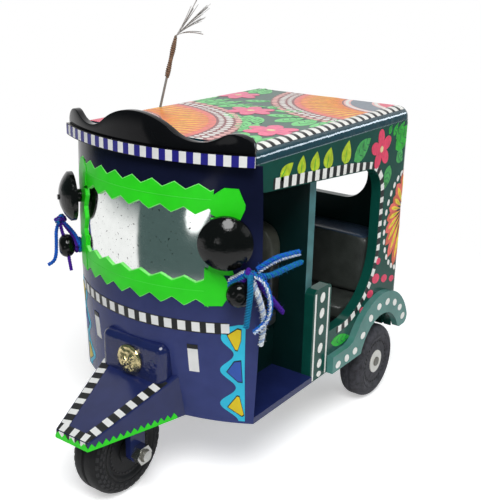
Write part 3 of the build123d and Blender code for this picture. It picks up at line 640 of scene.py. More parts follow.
# columns: left, low, right and high edge of the plain areas round the window
for u0, v0, u1, v1 in [(-cabin_half, 57, cabin_half, hole_low), (-cabin_half, hole_high, cabin_half, 148),
                       (hole_half, hole_low, cabin_half, hole_high), (-hole_half, hole_low, -cabin_half, hole_high)]:
    inner_rear.shape([(u0, v0), (u1, v0), (u1, v1), (u0, v1)], teal_painted_shade, 1)
for side, _ in sides:
    for level, turn in ((hole_low, -1), (hole_high, 1)):
        mid = (hole_half - hole_corner, level - turn * hole_corner)
        arc = [(side * (mid[0] + hole_corner * sin(a)), mid[1] + turn * hole_corner * cos(a))
               for a in [pi / 2 * i / 8 for i in range(9)]]
        inner_rear.shape(arc + [(side * hole_half, level)], teal_painted_shade, 1)
inner_rear.done()


# Partition: a paler strip on its edges in the door openings, a painted highlight

for side, name in sides:
    edge = Decor("partition_edge_" + name, lambda u, v, h: Vector((u, side * (44.0 + h), v)), "green_enamel")
    edge.ribbon([(-8.9, 56, 148), (-3.6, 56, 148)], teal_edge_painted_highlight, 2, rows=20)
    edge.done()


# Rear panel: a plain border of dashes under the window and two flowers

rear = Decor("rear_painting", lambda u, v, h: Vector((body_rear - h, u, v)), "green_enamel")
for i in range(13):
    rear.shape([(-37.2 + 5.8 * i + d, z) for d, z in ((0, 86), (2.8, 86), (2.8, 90), (0, 90))], white, 1)
for side in (1, -1):
    flower(rear, side * 24, 66, 10.5, 5, 1.57, 3)
    for base, tip in (((10, 66), (1, 74)), ((10, 65), (1, 58)), ((36, 70), (42.5, 79)), ((36, 63), (42.5, 54))):
        veined_leaf(rear, (side * base[0], base[1]), (side * tip[0], tip[1]), 7.0, leaf_green, 1)
rear.done()


# Cowl: places on its face by distance from the middle and by level

cowl_tree, pane_tree = [BVHTree.FromObject(nodes[name], bpy.context.evaluated_depsgraph_get())
                        for name in ("cowl", "windscreen")]


def cowl_arc(z):
    """The radius of the cowl's front at a level, and the x of its centre."""
    half, bulge = 0.0, 0.0
    for level, section_half, section_bulge in cowl_sections:
        share = prod((z - other) / (level - other) for other, _, _ in cowl_sections if other != level)
        half += section_half * share
        bulge += section_bulge * share
    radius = (half ** 2 + bulge ** 2) / (2 * bulge)
    return radius, cowl_rear + bulge - radius


def cowl_place(s, z, h):
    radius, centre_x = cowl_arc(z)
    turn = s / radius
    y = radius * sin(turn)
    x = centre_x + radius * cos(turn)
    start = Vector((0.2, y * MM, z * MM))
    # columns: surface, how far it lies behind the cowl's face
    for tree, behind in ((cowl_tree, 0.0), (pane_tree, pane_recess / cos(turn))):
        hit = tree.ray_cast(start, Vector((-1, 0, 0)))[0]
        if hit and abs(hit.x / MM + behind - x) < 2.0:
            x = hit.x / MM + behind
            break
    return Vector((x, y, z)) + Vector((cos(turn), sin(turn), 0)) * h


tooth_pitch = 10.45


def teeth(start, end, phase, low_valley, low_tip, high_valley, high_tip):
    """Stations of a tape with teeth on both edges."""
    out = []
    s = start
    while s < end:
        share = abs(((s - phase) / tooth_pitch) % 1.0 - 0.5) * 2
        out.append((s, low_valley + (low_tip - low_valley) * share, high_valley + (high_tip - high_valley) * share))
        s += tooth_pitch / 8
    return out


tapes = Decor("windscreen_tapes", cowl_place, "navy_enamel", step=0.11, low=-0.8)
# columns: phase of the teeth, lower edge's valleys and tips, upper edge's valleys and tips
tape_rows = [(-1.3, 131.2, 128.5, 138.4, 141.0), (5.4, 92.7, 89.3, 100.1, 102.5)]
# each green tape lies on a slightly wider paler green border
for grow, mat, layer in ((0.0, tape_pale_border, 1), (0.32, tape_green, 2)):
    for phase, *edges in tape_rows:
        levels = [z + shift for z, shift in zip(edges, (grow, grow, -grow, -grow))]
        tapes.ribbon(teeth(-47.0, 37.0, phase, *levels), mat, layer)
for side, _ in sides:
    upright = [(z, *sorted((side * inner, side * outer)))
               for z, inner, outer in teeth(104.0, 128.6, 104.0, 37.4, 35.4, 45.2, 47.2)]
    tapes.ribbon(upright, tape_green, 3, turned=True)
    # columns: distance from the middle, low level, high level
    upper = [(36.2, 129.4, 136.6), (38.4, 128.2, 138.3), (40.6, 127.2, 139.9), (46.4, 126.4, 139.7),
             (48.2, 127.0, 136.3), (49.8, 131.6, 133.4)]
    lower = [(35.0, 90.0, 106.6), (37.4, 90.2, 105.6), (40.7, 90.4, 105.0), (42.4, 90.4, 104.6), (44.8, 94.4, 100.5)]
    for patch in (upper, lower):
        tapes.ribbon([(side * s, low, high) for s, low, high in patch], tape_green, 4)
# a paler line along each tape's crease: painted highlight on the fold
for z, start, end in ((134.9, -46.0, 36.0), (96.6, -46.0, 35.0)):
    tapes.ribbon([(start + (end - start) * i / 40, z - 0.14, z + 0.14) for i in range(41)], tape_crease_painted_highlight, 3, rows=1)
tapes.done()

trim = Decor("cowl_trim", cowl_place, "navy_enamel", step=0.07)
trim.ribbon([(-45.5 + 2.5 * i, 77.4, 82.6) for i in range(37)], tape_black, 2)
for i in range(-7, 8):
    s = -0.2 + 6.22 * i
    trim.ribbon([(s - 1.75, 77.9, 82.2), (s + 1.75, 77.9, 82.2)], tape_white, 3)
for side, _ in sides:
    trim.ribbon([(side * s, 58.2, 69.6) for s in (26.6, 28.8, 31.1)], tape_white, 3)
    trim.ribbon([(side * s, 69.4, 71.4) for s in (26.5, 28.8, 31.2)], tape_black, 4)
    # the wavy tape along the rear edge: columns: level, inner edge, outer edge
    bumps = [(75.8, 41.4), (60.4, 40.2), (43.6, 39.0), (27.0, 38.0)]
    valley, wave_low, wave_high = 46.4, 35.2, 81.8
    top_z, top_s = bumps[0]
    wave = []
    for i in range(61):
        z = wave_low + (wave_high - wave_low) * i / 60
        if z > top_z:
            inner = top_s + 7.4 * (1 - sqrt(max(0.0, 1 - ((z - top_z) / 6.0) ** 2)))
        else:
            (z1, s1), (z0, s0) = next((a, b) for a, b in zip(bumps, bumps[1:]) if b[0] <= z <= a[0])
            share = (z - z0) / (z1 - z0)
            peak = s0 + (s1 - s0) * share
            inner = valley + (peak - valley) * (0.5 + 0.5 * cos(2 * pi * share))
        outer = 49.2 + (z - 35.4) * 0.058
        wave.append((z, *sorted((side * inner, side * outer))))
    trim.ribbon(wave, tape_turquoise, 2, turned=True)
    # columns: paint, corners as distance from the middle and level
    patches = [
        (tape_yellow, [(44.2, 77.0), (48.4, 79.9), (49.9, 79.4), (49.6, 74.5), (48.1, 70.2), (47.2, 70.4)]),
        (tape_blue, [(43.2, 59.6), (46.4, 64.3), (49.2, 64.8), (49.2, 55.0), (47.4, 55.2)]),
        (tape_yellow, [(42.4, 42.0), (46.6, 47.6), (47.6, 47.4), (48.9, 38.8), (48.0, 38.0)]),
    ]
    for mat, corners in patches:
        mid = [sum(c[k] for c in corners) / len(corners) for k in (0, 1)]
        for grow, paint_mat, layer in ((1.12, tape_black, 4), (1.0, mat, 5)):
            trim.shape([(side * (mid[0] + (s - mid[0]) * grow), mid[1] + (z - mid[1]) * grow) for s, z in corners],
                       paint_mat, layer)
trim.done()


# Visor: a strip of blue and white blocks on its curved edge

visor_radius = (visor_half ** 2 + visor_bulge ** 2) / (2 * visor_bulge)
visor_centre_x = visor_side_x + visor_bulge - visor_radius


def visor_place(s, z, h):
    a = s / visor_radius
    return Vector((visor_centre_x + (visor_radius + h) * cos(a), (visor_radius + h) * sin(a), z))


blocks = Decor("visor_blocks", visor_place, "black_enamel", step=0.07)
visor_reach = visor_radius * asin(visor_half / visor_radius) - 0.3
block_low, block_high = 149.4, 153.8
blocks.ribbon([(-visor_reach + visor_reach * 2 * i / 44, block_low, block_high) for i in range(45)], tape_white, 2)
for i in range(-9, 9):
    s = 3.1 + 6.18 * i
    if abs(s) + 1.6 < visor_reach:
        blocks.ribbon([(end, block_low, block_high) for end in (s - 1.5, s + 1.5)], check_blue, 3)
blocks.done()


# Visor crest: the cut board with its edges rubbed round

def rounded_crest():
    mesh = nodes["visor_crest"].data.copy()
    work = bmesh.new()
    work.from_mesh(mesh)
    bmesh.ops.remove_doubles(work, verts=work.verts, dist=1e-6)
    bmesh.ops.dissolve_limit(work, angle_limit=radians(1.5), verts=work.verts, edges=work.edges)
    sharp = [e for e in work.edges if len(e.link_faces) == 2 and e.calc_face_angle() > radians(40)]
    bmesh.ops.bevel(work, geom=sharp, offset=0.8 * MM, segments=3, profile=0.5, affect="EDGES", clamp_overlap=True)
    work.to_mesh(mesh)
    work.free()
    mesh.materials.clear()
    mesh.materials.append(black)
    mesh.polygons.foreach_set("use_smooth", [True] * len(mesh.polygons))
    mesh.set_sharp_from_angle(angle=radians(35))
    obj = add_object("visor_crest_rounded", mesh)
    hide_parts("visor_crest")
    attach(obj, "body")


rounded_crest()


# Nose: checks along the top's edges and a toothed tape along the lower edges

nose_length = nose_tip_x - nose_root_x
nose_climb = atan((nose_root_top - nose_tip_top) / nose_length)
nose_spread = atan((nose_root_half - nose_tip_half) / nose_length)


def nose_top_place(d, y, h):
    """By distance up the slope from the tip and by y."""
    return Vector((nose_tip_x - d * cos(nose_climb) + h * sin(nose_climb), y,
                   nose_tip_top + d * sin(nose_climb) + h * cos(nose_climb)))


top_length = nose_length / cos(nose_climb)
edge_turn = atan((nose_root_half - nose_tip_half) / top_length)
# columns: side, name, tape's inner and outer border from the nose's edge, middle of the first white square
for side, name, inner, outer, first in ((1, "left", 5.2, 0.2, 5.9), (-1, "right", 5.2, 0.9, 3.9)):
    def edge_place(along, inside, h):
        d = along * cos(edge_turn) + inside * sin(edge_turn)
        y = nose_tip_half + along * sin(edge_turn) - inside * cos(edge_turn)
        return nose_top_place(d, side * y, h)

    checks = Decor("nose_checks_" + name, edge_place, "navy_enamel", step=0.07)
    checks.ribbon([(0.4 + 3.5 * i, outer, inner) for i in range(13)], tape_black, 2)
    for i in range(7):
        e = first + 6.2 * i
        if e < 42:
            checks.ribbon([(e - 1.4, outer, inner), (e + 1.4, outer, inner)], tape_white, 3, rows=1)
    checks.done()
checks = Decor("nose_checks_front", nose_top_place, "navy_enamel", step=0.07)
checks.ribbon([(0.1, -8.8, 9.2), (3.7, -9.4, 9.8)], tape_black, 4)
front_squares = (-5.9, 0.4, 6.7)
for y in front_squares:
    checks.ribbon([(0.1, y - 1.45, y + 1.45), (3.7, y - 1.75, y + 1.35)], tape_white, 5, rows=1)
checks.done()


def saw(length, pitch, root, tip):
    """Stations of a tape with teeth on its upper edge."""
    out = []
    count = round(length / pitch)
    for i in range(count):
        u = length * i / count
        out += [(u + 0.001, nose_low, root), (u + length / count / 2, nose_low, tip)]
    return out + [(length, nose_low, root)]


for side, name in sides:
    def nose_side_place(d, z, h):
        return Vector((nose_tip_x - d * cos(nose_spread) + h * sin(nose_spread),
                       side * (nose_tip_half + d * sin(nose_spread) + h * cos(nose_spread)), z))

    edge = Decor("nose_tape_" + name, nose_side_place, "navy_enamel", step=0.08)
    edge.ribbon(saw(44.5, 3.3, 35.0, 37.2), tape_green, 2, rows=1)
    edge.done()
front_edge = Decor("nose_tape_front", lambda y, z, h: Vector((nose_tip_x + h, y, z)), "navy_enamel", step=0.08)
front_edge.ribbon([(-8.8, 35.2, 37.7), (9.2, 35.2, 37.7)], tape_black, 1, rows=1)
for y in front_squares:
    front_edge.ribbon([(y - 1.45, 35.3, 37.7), (y + 1.45, 35.3, 37.7)], tape_white, 2, rows=1)
front_edge.ribbon([(u - nose_tip_half, a, b) for u, a, b in saw(2 * nose_tip_half, 4.2, 35.3, 37.4)],
                  tape_green, 3, rows=1)
front_edge.done()


# Headlamp: a faceted stud

def faceted_stud():
    count = 20
    # columns: depth, radius, turn in steps
    rings = [(0.0, 6.9, 0.0), (1.0, 6.9, 0.0), (1.6, 6.1, 0.5), (1.9, 5.1, 0.0), (2.1, 4.1, 0.5), (2.2, 3.1, 0.0),
             (2.3, 2.1, 0.5), (2.4, 1.1, 0.0)]
    verts, faces = [], [list(range(count))]
    for depth, radius, turn in rings:
        for i in range(count):
            a = 2 * pi * (i + turn) / count
            uneven = rng.uniform(-0.26, 0.26) if depth > 1.2 else 0.0
            verts.append(lamp_centre + Vector((depth + uneven, radius * cos(a), radius * sin(a))))
    for k, (lower, upper) in enumerate(zip(rings, rings[1:])):
        shift = upper[2] - lower[2]
        for i in range(count):
            a, b = k * count + i, k * count + (i + 1) % count
            c, d = a + count, b + count
            faces += [[a, b, d, c]] if not shift else [[a, b, c], [b, d, c]] if shift > 0 else [[a, d, c], [a, b, d]]
    last, middle = (len(rings) - 1) * count, len(verts)
    verts.append(lamp_centre + Vector((2.6, 0, 0)))
    faces += [[last + i, last + (i + 1) % count, middle] for i in range(count)]
    return piece("headlamp_stud", verts, faces, [gold], slot="lamp_gold", replaces=["headlamp"])


faceted_stud()


# Tyres: a moulded groove round the tread, ribbed sidewalls and rings of small blocks

def tyre(name, node, body, x, y, radius, width, mat, block_rows):
    half = width / 2
    shoulder = 4.0
    profile = [(6.22, 0.0), (6.22, half - 0.9), (9.0, half - 0.9), (12.6, half - 0.9), (13.4, half - 0.25),
               (13.9, half - 0.02), (14.6, half - 0.02), (14.9, half - 0.3), (15.3, half - 0.3),
               (15.6, half - 0.02), (radius - shoulder, half - 0.02)]
    for i in range(1, 7):
        a = pi / 2 * i / 6
        profile.append((radius - shoulder * (1 - sin(a)) - 0.12 * sin(2 * a),
                        half - shoulder * (1 - cos(a)) - 0.12 * sin(2 * a)))
    profile += [(radius, 0.9), (radius - 0.7, 0.35), (radius - 0.7, 0.0)]
    profile = profile[::-1] + [(r, -w) for r, w in profile[1:-1]]
    around = 96

    def place(r, w, a):
        return Vector((x + r * cos(a), y + w, radius + r * sin(a)))

    verts = [place(r, w, a) for a in turns(around) for r, w in profile]
    faces = skin(around, len(profile), loop=True)
    kinds = [0] * len(faces)

    def face_at(r):
        """Half the tyre's width at a radius."""
        if r < 12.6:
            return half - 0.9
        a = asin(max(0.0, 1 - (radius - r) / shoulder))
        return half - 0.02 - shoulder * (1 - cos(a)) - 0.12 * sin(2 * a)

    for row, (row_radius, number, length, depth, proud) in enumerate(block_rows):
        for i in range(number):
            a = 2 * pi * (i + 0.5 * (row % 2)) / number
            for side, _ in sides:
                block = skin(2, 4, len(verts))
                for out in (-0.3, proud):
                    for dr, da in ((-depth, -length), (depth, -length), (depth, length), (-depth, length)):
                        r = row_radius + dr
                        verts.append(place(r, side * (face_at(r) + out), a + da / row_radius))
                faces += block
                kinds += [1] * len(block)
    return piece(name, verts, faces, [mat, rubber_block_painted_light], kinds, smooth=32, body=body, slot="tyre", replaces=[node])


# columns: radius, number, half length, half height, height over the tyre's face
front_rows = [(19.7, 34, 1.05, 0.5, 0.16), (18.2, 34, 1.0, 0.5, 0.2), (16.7, 32, 0.95, 0.45, 0.2),
              (11.4, 34, 0.5, 0.4, 0.3)]
rear_rows = [(11.4, 30, 0.5, 0.35, 0.3)]
tyre("front_tyre_dressed", "front_tyre", "front_wheel", front_axle_x, 0.0, front_radius, front_width, rubber,
     front_rows)
for side, name in sides:
    tyre("rear_tyre_dressed_" + name, "rear_tyre_" + name, "rear_wheel_" + name, rear_axle_x, side * rear_wheel_y,
         rear_radius, rear_width, rubber_grey, rear_rows)


# Front axle: painted shade, dark rings for the gap between nut and bolt end and for the thread on the end

def nut_painted_shade():
    face_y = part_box("front_axle_bolt")[1][1] / MM - 1.6
    around = 28
    verts, faces = [], []
    # columns: distance from the nut's face, inner radius, outer radius, thickness
    for start, r0, r1, thick in [(0.0, 2.52, 3.05, 0.06), (0.35, 2.4, 2.58, 0.22), (0.8, 2.4, 2.58, 0.22),
                                 (1.25, 2.4, 2.58, 0.2)]:
        faces += skin(4, around, len(verts), loop=True)
        low, high = face_y + start - 0.02, face_y + start + thick
        for y, r in ((low, r0), (low, r1), (high, r1), (high, r0)):
            verts += ring(Vector((front_axle_x, y, front_radius)), Vector((1, 0, 0)), Vector((0, 0, 1)), r, around)
    piece("nut_painted_shade", verts, faces, [axle_dull], slot="zinc_steel")


nut_painted_shade()


# Seats: crowned pads whose faces swell between their edges and whose corners pull in

def pad(name, node, mat, crown, lean=None, round_top=0.0, top_highlight_mat=None):
    low, high = [Vector(c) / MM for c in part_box(node)]
    size = high - low
    work = bmesh.new()
    bmesh.ops.create_cube(work, size=1.0)
    bmesh.ops.subdivide_edges(work, edges=work.edges, cuts=13, use_grid_fill=True)
    for vert in work.verts:
        p = vert.co.copy()
        bulge = [1 - (2 * c) ** 2 for c in p]
        # the faces swell between their edges and the corners pull in
        pull = 1 - 0.035 * (sum(abs(2 * c) ** 6 for c in p) - 1)
        swell = Vector((bulge[1] * bulge[2] * (2 * p.x > 0.99), 0, bulge[0] * bulge[1] * 0.5 * (2 * p.z > 0.99)))
        q = p * size * pull + (swell - Vector((0.5, 0, 0.25))) * crown * 0.5
        if lean:
            q.x -= lean * (p.z + 0.5) * (p.x + 0.5)
        if round_top:
            over = max(0.0, abs(q.y) - (size.y / 2 - round_top))
            lift = max(0.0, q.z - (size.z / 2 - round_top))
            reach = hypot(over, lift)
            if over > 0 and lift > 0 and reach > round_top * 0.98:
                scale = round_top * 0.98 / reach
                q.y = copysign(size.y / 2 - round_top + over * scale, q.y)
                q.z = size.z / 2 - round_top + lift * scale
        vert.co = (q + (low + high) / 2) * MM
    mesh = bpy.data.meshes.new(name)
    work.to_mesh(mesh)
    work.free()
    mesh.materials.append(mat)
    # faces turned up take the top material, a painted highlight
    if top_highlight_mat:
        mesh.materials.append(top_highlight_mat)
        mesh.polygons.foreach_set("material_index", [int(p.normal.z > 0.6) for p in mesh.polygons])
    mesh.polygons.foreach_set("use_smooth", [True] * len(mesh.polygons))
    obj = add_object(name, mesh)
    soften = obj.modifiers.new("soften", "SMOOTH")
    soften.factor = 0.5
    soften.iterations = 2
    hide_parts(node)
    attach(obj, "body")
    return obj


pad("bench_seat_pad", "bench_cushion", vinyl, 1.2)
pad("bench_back_pad", "bench_back", vinyl, 1.4, lean=5.0, top_highlight_mat=vinyl_painted_highlight)
pad("driver_seat_pad", "driver_cushion", vinyl, 1.0)
# the driver's seat back takes the vinyl with painted shade low down
pad("driver_back_pad", "driver_back", vinyl_olive_painted_shade, 1.0, round_top=12.0)


# Yarn: twisted strands along a smooth route

def route_points(points):
    """Points of the smooth line that the route's control points give, in metres."""
    curve = bpy.data.curves.new("route", "CURVE")
    curve.dimensions = "3D"
    curve.resolution_u = 22
    spline = curve.splines.new("NURBS")
    spline.points.add(len(points) - 1)
    for point, place in zip(spline.points, points):
        point.co = (*[c * MM for c in place], 1)
    spline.order_u = 3
    spline.use_endpoint_u = True
    holder = add_object("route", curve)
    mesh = bpy.data.meshes.new_from_object(holder)
    out = [v.co.copy() for v in mesh.vertices]
    bpy.data.objects.remove(holder)
    bpy.data.curves.remove(curve)
    bpy.data.meshes.remove(mesh)
    return out


def route_from(knot, offsets, reach):
    """Points of a yarn that starts at a reach from its knot, on the way to its first offset."""
    steps = [Vector(o) for o in offsets]
    return route_points([knot + steps[0].normalized() * reach] + [knot + step for step in steps])


def strands(path, radius, number, pitch, closed=False, corners=7):
    """Vertices, faces and material numbers of strands laid round a path, in millimetres."""
    verts, faces, kinds = [], [], []
    path = [p / MM for p in path]
    offset = radius * (0.0 if number == 1 else 0.52 if number < 4 else 0.60)
    thin = radius - offset
    count = len(path)
    tangents = []
    for i in range(count):
        before = path[i - 1] if i or closed else path[i]
        after = path[(i + 1) % count] if i < count - 1 or closed else path[i]
        tangents.append((after - before).normalized())
    up = tangents[0].orthogonal().normalized()
    frames, walked, total = [], [], 0.0
    for i in range(count):
        if i:
            total += (path[i] - path[i - 1]).length
        up = (up - tangents[i] * up.dot(tangents[i])).normalized()
        frames.append((up.copy(), tangents[i].cross(up)))
        walked.append(total)
    for k in range(number):
        faces += skin(count, corners, len(verts), closed)
        kinds += [k] * (len(faces) - len(kinds))
        for point, (first, second), distance in zip(path, frames, walked):
            a = 2 * pi * (k / number + distance / pitch)
            centre = point + (first * cos(a) + second * sin(a)) * offset
            verts += ring(centre, first, second, thin, corners)
    return verts, faces, kinds


def fuzz(path, radius, number, verts, faces, kinds):
    """Short stray fibres that stand off a path, added to the strands' lists."""
    for _ in range(number):
        root = path[rng.randrange(1, len(path) - 1)] / MM
        way, bend = [Vector([rng.gauss(0, 1) for _ in range(3)]) for _ in range(2)]
        way, bend = way.normalized(), bend * 0.35
        length = radius + rng.uniform(0.3, 1.0)
        side = way.orthogonal().normalized() * 0.065
        other = way.cross(side)
        faces += skin(3, 3, len(verts))
        for t in (0.3, 0.7, 1.0):
            p = root + way * length * t + bend * t * t
            thin = 1.0 if t < 0.9 else 0.4
            verts += [p + side * thin, p - (side * 0.5 - other * 0.87) * thin, p - (side * 0.5 + other * 0.87) * thin]
        kinds += [0] * (len(faces) - len(kinds))


left_knot = Vector((52.0, 51.5, 106.0))
right_knot = Vector((55.9, -54.0, 109.4))
knot_reach = 3.12
# columns: node, side on which a pale strand lies, strands, offsets from the left knot
yarn_ends = [
    ("yarn_blue", (0.0, 0.6, -1.2), [wool_blue, wool_blue, wool_turquoise],
     [(-3.9, 2.8, 3.1), (-12.2, 3.5, 4.2), (-19.6, 3.5, 3.7), (-32.5, 2.2, 1.4)]),
    ("yarn_turquoise", None, [wool_turquoise, wool_blue, wool_turquoise],
     [(-4.0, 4.9, -1.2), (-11.4, 5.6, -1.2), (-21.5, 4.6, -1.8), (-34.2, 2.7, -3.7)]),
    ("yarn_purple", None, [wool_purple, wool_purple, wool_purple],
     [(-4.2, 1.7, -5.0), (-7.9, 3.1, -10.1), (-13.3, 2.5, -15.1), (-23.2, 1.0, -23.8)]),
    # the white yarn has one strand of painted shade
    ("yarn_white", None, [wool_white, wool_white, wool_white_painted_shade],
     [(2.7, 4.7, -4.7), (0.5, 5.3, -10.0), (-2.0, 5.5, -16.8), (-3.3, 5.1, -23.1), (-2.4, 4.2, -31.0)]),
    ("yarn_loop", (1.1, 0.7, 0.0), [wool_blue, wool_blue, wool_turquoise],
     [(2.2, 8.0, 0.6), (0.6, 10.0, -6.8), (-1.2, 9.4, -13.6), (-0.6, 7.8, -19.6), (5.6, 6.4, -21.6)]),
]
for node, pale_side, mats, offsets in yarn_ends:
    path = route_from(left_knot, offsets, knot_reach)
    verts, faces, kinds = strands(path, 1.2 if pale_side else 1.3, len(mats), 3.6)
    fuzz(path, 1.15, 200, verts, faces, kinds)
    if pale_side:
        # beside the yarn lie two thin strands, white wool and its painted shade
        beside = [p + Vector(pale_side) * MM for p in path]
        more, more_faces, more_kinds = strands(beside, 0.72, 2, 2.8)
        faces += [[len(verts) + i for i in face] for face in more_faces]
        kinds += [len(mats) + k for k in more_kinds]
        verts += more
    end = piece(node + "_strands", verts, faces, mats + [wool_white, wool_white_painted_shade], kinds, smooth=60,
                slot="yarn_blue" if node == "yarn_loop" else node, replaces=[node])
    length = sum((b - a).length for a, b in zip(path, path[1:]))
    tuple(path[0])


def tie(name, node, knot, side, bead_y, bead_z, band, thick, ends):
    """Turns of yarn round the bead's neck, a flat band of strands to the knot, the knot and its short ends."""
    verts, faces, kinds, mats = [], [], [], [wool_blue, wool_turquoise, wool_purple, wool_white]

    def add(path, radius, numbers, pitch, closed=False):
        more, more_faces, more_kinds = strands(path, radius, len(numbers), pitch, closed)
        base = len(verts)
        verts.extend(more)
        faces.extend([[base + i for i in face] for face in more_faces])
        kinds.extend([numbers[k] for k in more_kinds])

    radius, centre_x = cowl_arc(bead_z)
    turn = asin(bead_y / radius)
    root = Vector((centre_x + radius * cos(turn), side * bead_y, bead_z))
    out = Vector((cos(turn), side * sin(turn), 0))
    inward = Vector((sin(turn), -side * cos(turn), 0))
    upward = Vector((0, 0, 1))
    for shift, numbers in ((0.9, [1, 1, 0]), (2.4, [2, 2, 2])):
        loop = ring(root + out * shift, inward, upward, 2.85, 36)
        add([p * MM for p in loop], 0.95, numbers, 3.2, closed=True)
    for number, along, above, lift in band:
        foot = root + out * along + inward * 3.0 + upward * above * 0.2
        start = root + out * along + inward * 4.6 + upward * (above - 1.6)
        crest = root + out * (along + 0.6) + inward * 0.6 + upward * (above + 0.6)
        near = crest.lerp(knot, 0.55) + upward * lift
        add(route_points([foot, start, crest, near, knot]), 0.95, [number] * 3, 3.2)
    away = (knot - root).normalized()
    flat = away.orthogonal().normalized()
    for turned, size, numbers in ((0.2, 2.0, [2, 2, 2]), (1.3, 1.9, [2, 2, 0]), (2.4, 1.9, [1, 0, 1])):
        first = flat * cos(turned) + away.cross(flat) * sin(turned)
        second = (away * 0.6 + first.cross(away) * 0.8).normalized()
        add([p * MM for p in ring(knot, first, second, size, 30)], 1.05, numbers, 3.4, closed=True)
    for numbers, offsets in ends:
        add(route_from(knot, offsets, 1.5), thick, numbers, 3.4)
    return piece(name, verts, faces, mats, kinds, smooth=60, slot="yarn_tie", replaces=[node])


# columns: strand, place along the bead's neck, distance from its middle, lift at the middle of the way
left_band = [(3, 1.0, 5.6, 2.0), (0, 1.6, 4.7, 1.2), (1, 2.3, 3.8, 0.3), (2, 2.9, 3.0, -0.6)]
right_band = [(0, 1.4, 3.6, 0.8), (2, 2.3, 3.0, 0.0)]
tie("yarn_tie_left_knot", "yarn_tie_left", left_knot, 1, 45.3, 98.2, left_band, 1.4, [
    ([1, 1, 1], [(5.3, 4.0, -0.7), (7.1, 5.0, -7.5), (8.7, 4.5, -19.1)]),
])
tie("yarn_tie_right_knot", "yarn_tie_right", right_knot, -1, 45.9, 97.6, right_band, 0.9, [
    ([2, 2, 2], [(0.7, 0.5, -2.5), (0.9, 3.2, -9.0), (1.4, 6.0, -16.0), (2.4, 8.4, -22.6)]),
    ([0, 0, 0], [(1.2, -2.0, -4.2), (2.6, -0.6, -11.0), (4.2, 0.6, -16.4), (6.2, 0.8, -19.2), (8.2, -0.8, -20.2)]),
])


# Antenna: thread bound in uneven turns about the wire

def binding():
    low, high = [Vector(c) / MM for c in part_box("antenna_wrap")]
    t0, t1 = [(z - roof_top) / antenna_lean.z for z in (low.z, high.z)]
    axis = antenna_lean.normalized()
    first = axis.orthogonal().normalized()
    second = axis.cross(first)
    wide = (high.x - low.x - abs(antenna_lean.x) * (t1 - t0)) / 2

    def at(share):
        return antenna_foot + antenna_lean * (t0 + (t1 - t0) * share)

    path = []
    rounds, steps = 19, 14
    for i in range(rounds * steps + 1):
        share = i / (rounds * steps)
        a = 2 * pi * i / steps
        swell = sin(pi * min(1.0, 0.12 + share * 0.88)) ** 0.5
        size = wide * (0.36 + 0.26 * swell + 0.14 * sin(share * 11.0))
        path.append((at(0.03 + 0.94 * share) + (first * cos(a) + second * sin(a)) * size) * MM)
    verts, faces, _ = strands(path, 0.5, 1, 4.0, corners=6)
    # the core that the turns lie on
    around, rows = 12, 15
    faces += skin(rows, around, len(verts))
    for i in range(rows):
        share = i / (rows - 1)
        size = wide * (0.30 + 0.45 * sin(pi * (0.08 + 0.84 * share)))
        verts += ring(at(share), first, second, size, around)
    return piece("antenna_binding", verts, faces, [thread_brown], smooth=50, slot="antenna_wrap",
                 replaces=["antenna_wrap"])


binding()


# Antenna: a tuft of tinsel strips

def tuft():
    base = antenna_foot + antenna_lean
    reach = Vector((-17.3, 4.0, 14.9))
    across = Vector((0.2, 0.75, 0.3)).normalized()
    thick = Vector((0.3, -0.1, 0.9)).normalized() * 0.07
    # strips lie in three tails, and two more stand out to the side
    # columns: number of strips, where they end beside the middle one's reach
    tails = [(8, (2.1, -3.0, 1.5)), (16, (-0.9, 1.3, -1.4)), (8, (0, 0, -6.0)), (1, (10.4, 6.2, -13.6)),
             (1, (10.4, 7.2, -14.6))]
    verts, faces = [], []
    for number, centre in tails:
        for _ in range(number):
            spread = Vector([rng.uniform(-1, 1) for _ in range(3)]) * 1.3
            length = rng.uniform(0.7, 1.08)
            droop = rng.uniform(-2.4, 0.6) * 0.5
            if number == 1:
                spread, length, droop = Vector(), 1.0, 0.8
            count = 9
            faces += skin(count, 4, len(verts))
            for i in range(count):
                t = i / (count - 1)
                p = base + (reach * t + (Vector(centre) + spread) * t ** 1.3) * length + Vector((0, 0, droop)) * t * t
                wide = across * (0.5 * (1 - 0.55 * t) + 0.08)
                verts += [p - wide - thick, p + wide - thick, p + wide + thick, p - wide + thick]
    return piece("antenna_tinsel", verts, faces, [tinsel], slot="tinsel", replaces=["antenna_tuft"])


tuft()


# Stage, light and camera

plain_white = (1, 1, 1, 1)


def stage_floor():
    """A white floor that keeps the shadow and fades into the white background."""
    mesh = bpy.data.meshes.new("floor")
    reach, around = 0.9, 64
    mesh.from_pydata([(*polar((0, 0), reach, a), 0) for a in turns(around)], [], [list(range(around))])
    mat = bpy.data.materials.new("floor_white")
    mat.use_nodes = True
    tree = mat.node_tree
    shader = tree.nodes["Principled BSDF"]
    seen = shade(tree, "LightPath").outputs["Is Camera Ray"]
    connect(tree, shader, {
        "Base Color": (0.92, 0.92, 0.92, 1), "Roughness": 0.9, "Specular IOR Level": 0.05,
        "Emission Color": plain_white,
        "Emission Strength": shade(tree, "Math", {0: seen, 1: 0.42}, operation="MULTIPLY").outputs[0],
    })
    where = shade(tree, "TexCoord").outputs["Object"]
    distance = shade(tree, "VectorMath", {0: where}, operation="LENGTH").outputs["Value"]
    clear = shade(tree, "BsdfTransparent")
    mix = shade(tree, "MixShader", {"Fac": smooth_range(tree, distance, 0.20, 0.36), 1: shader.outputs[0],
                                    2: clear.outputs[0]})
    connect(tree, tree.nodes["Material Output"], {"Surface": mix.outputs[0]})
    mesh.materials.append(mat)
    floor = add_object("floor", mesh)
    floor.location.z = -0.0002


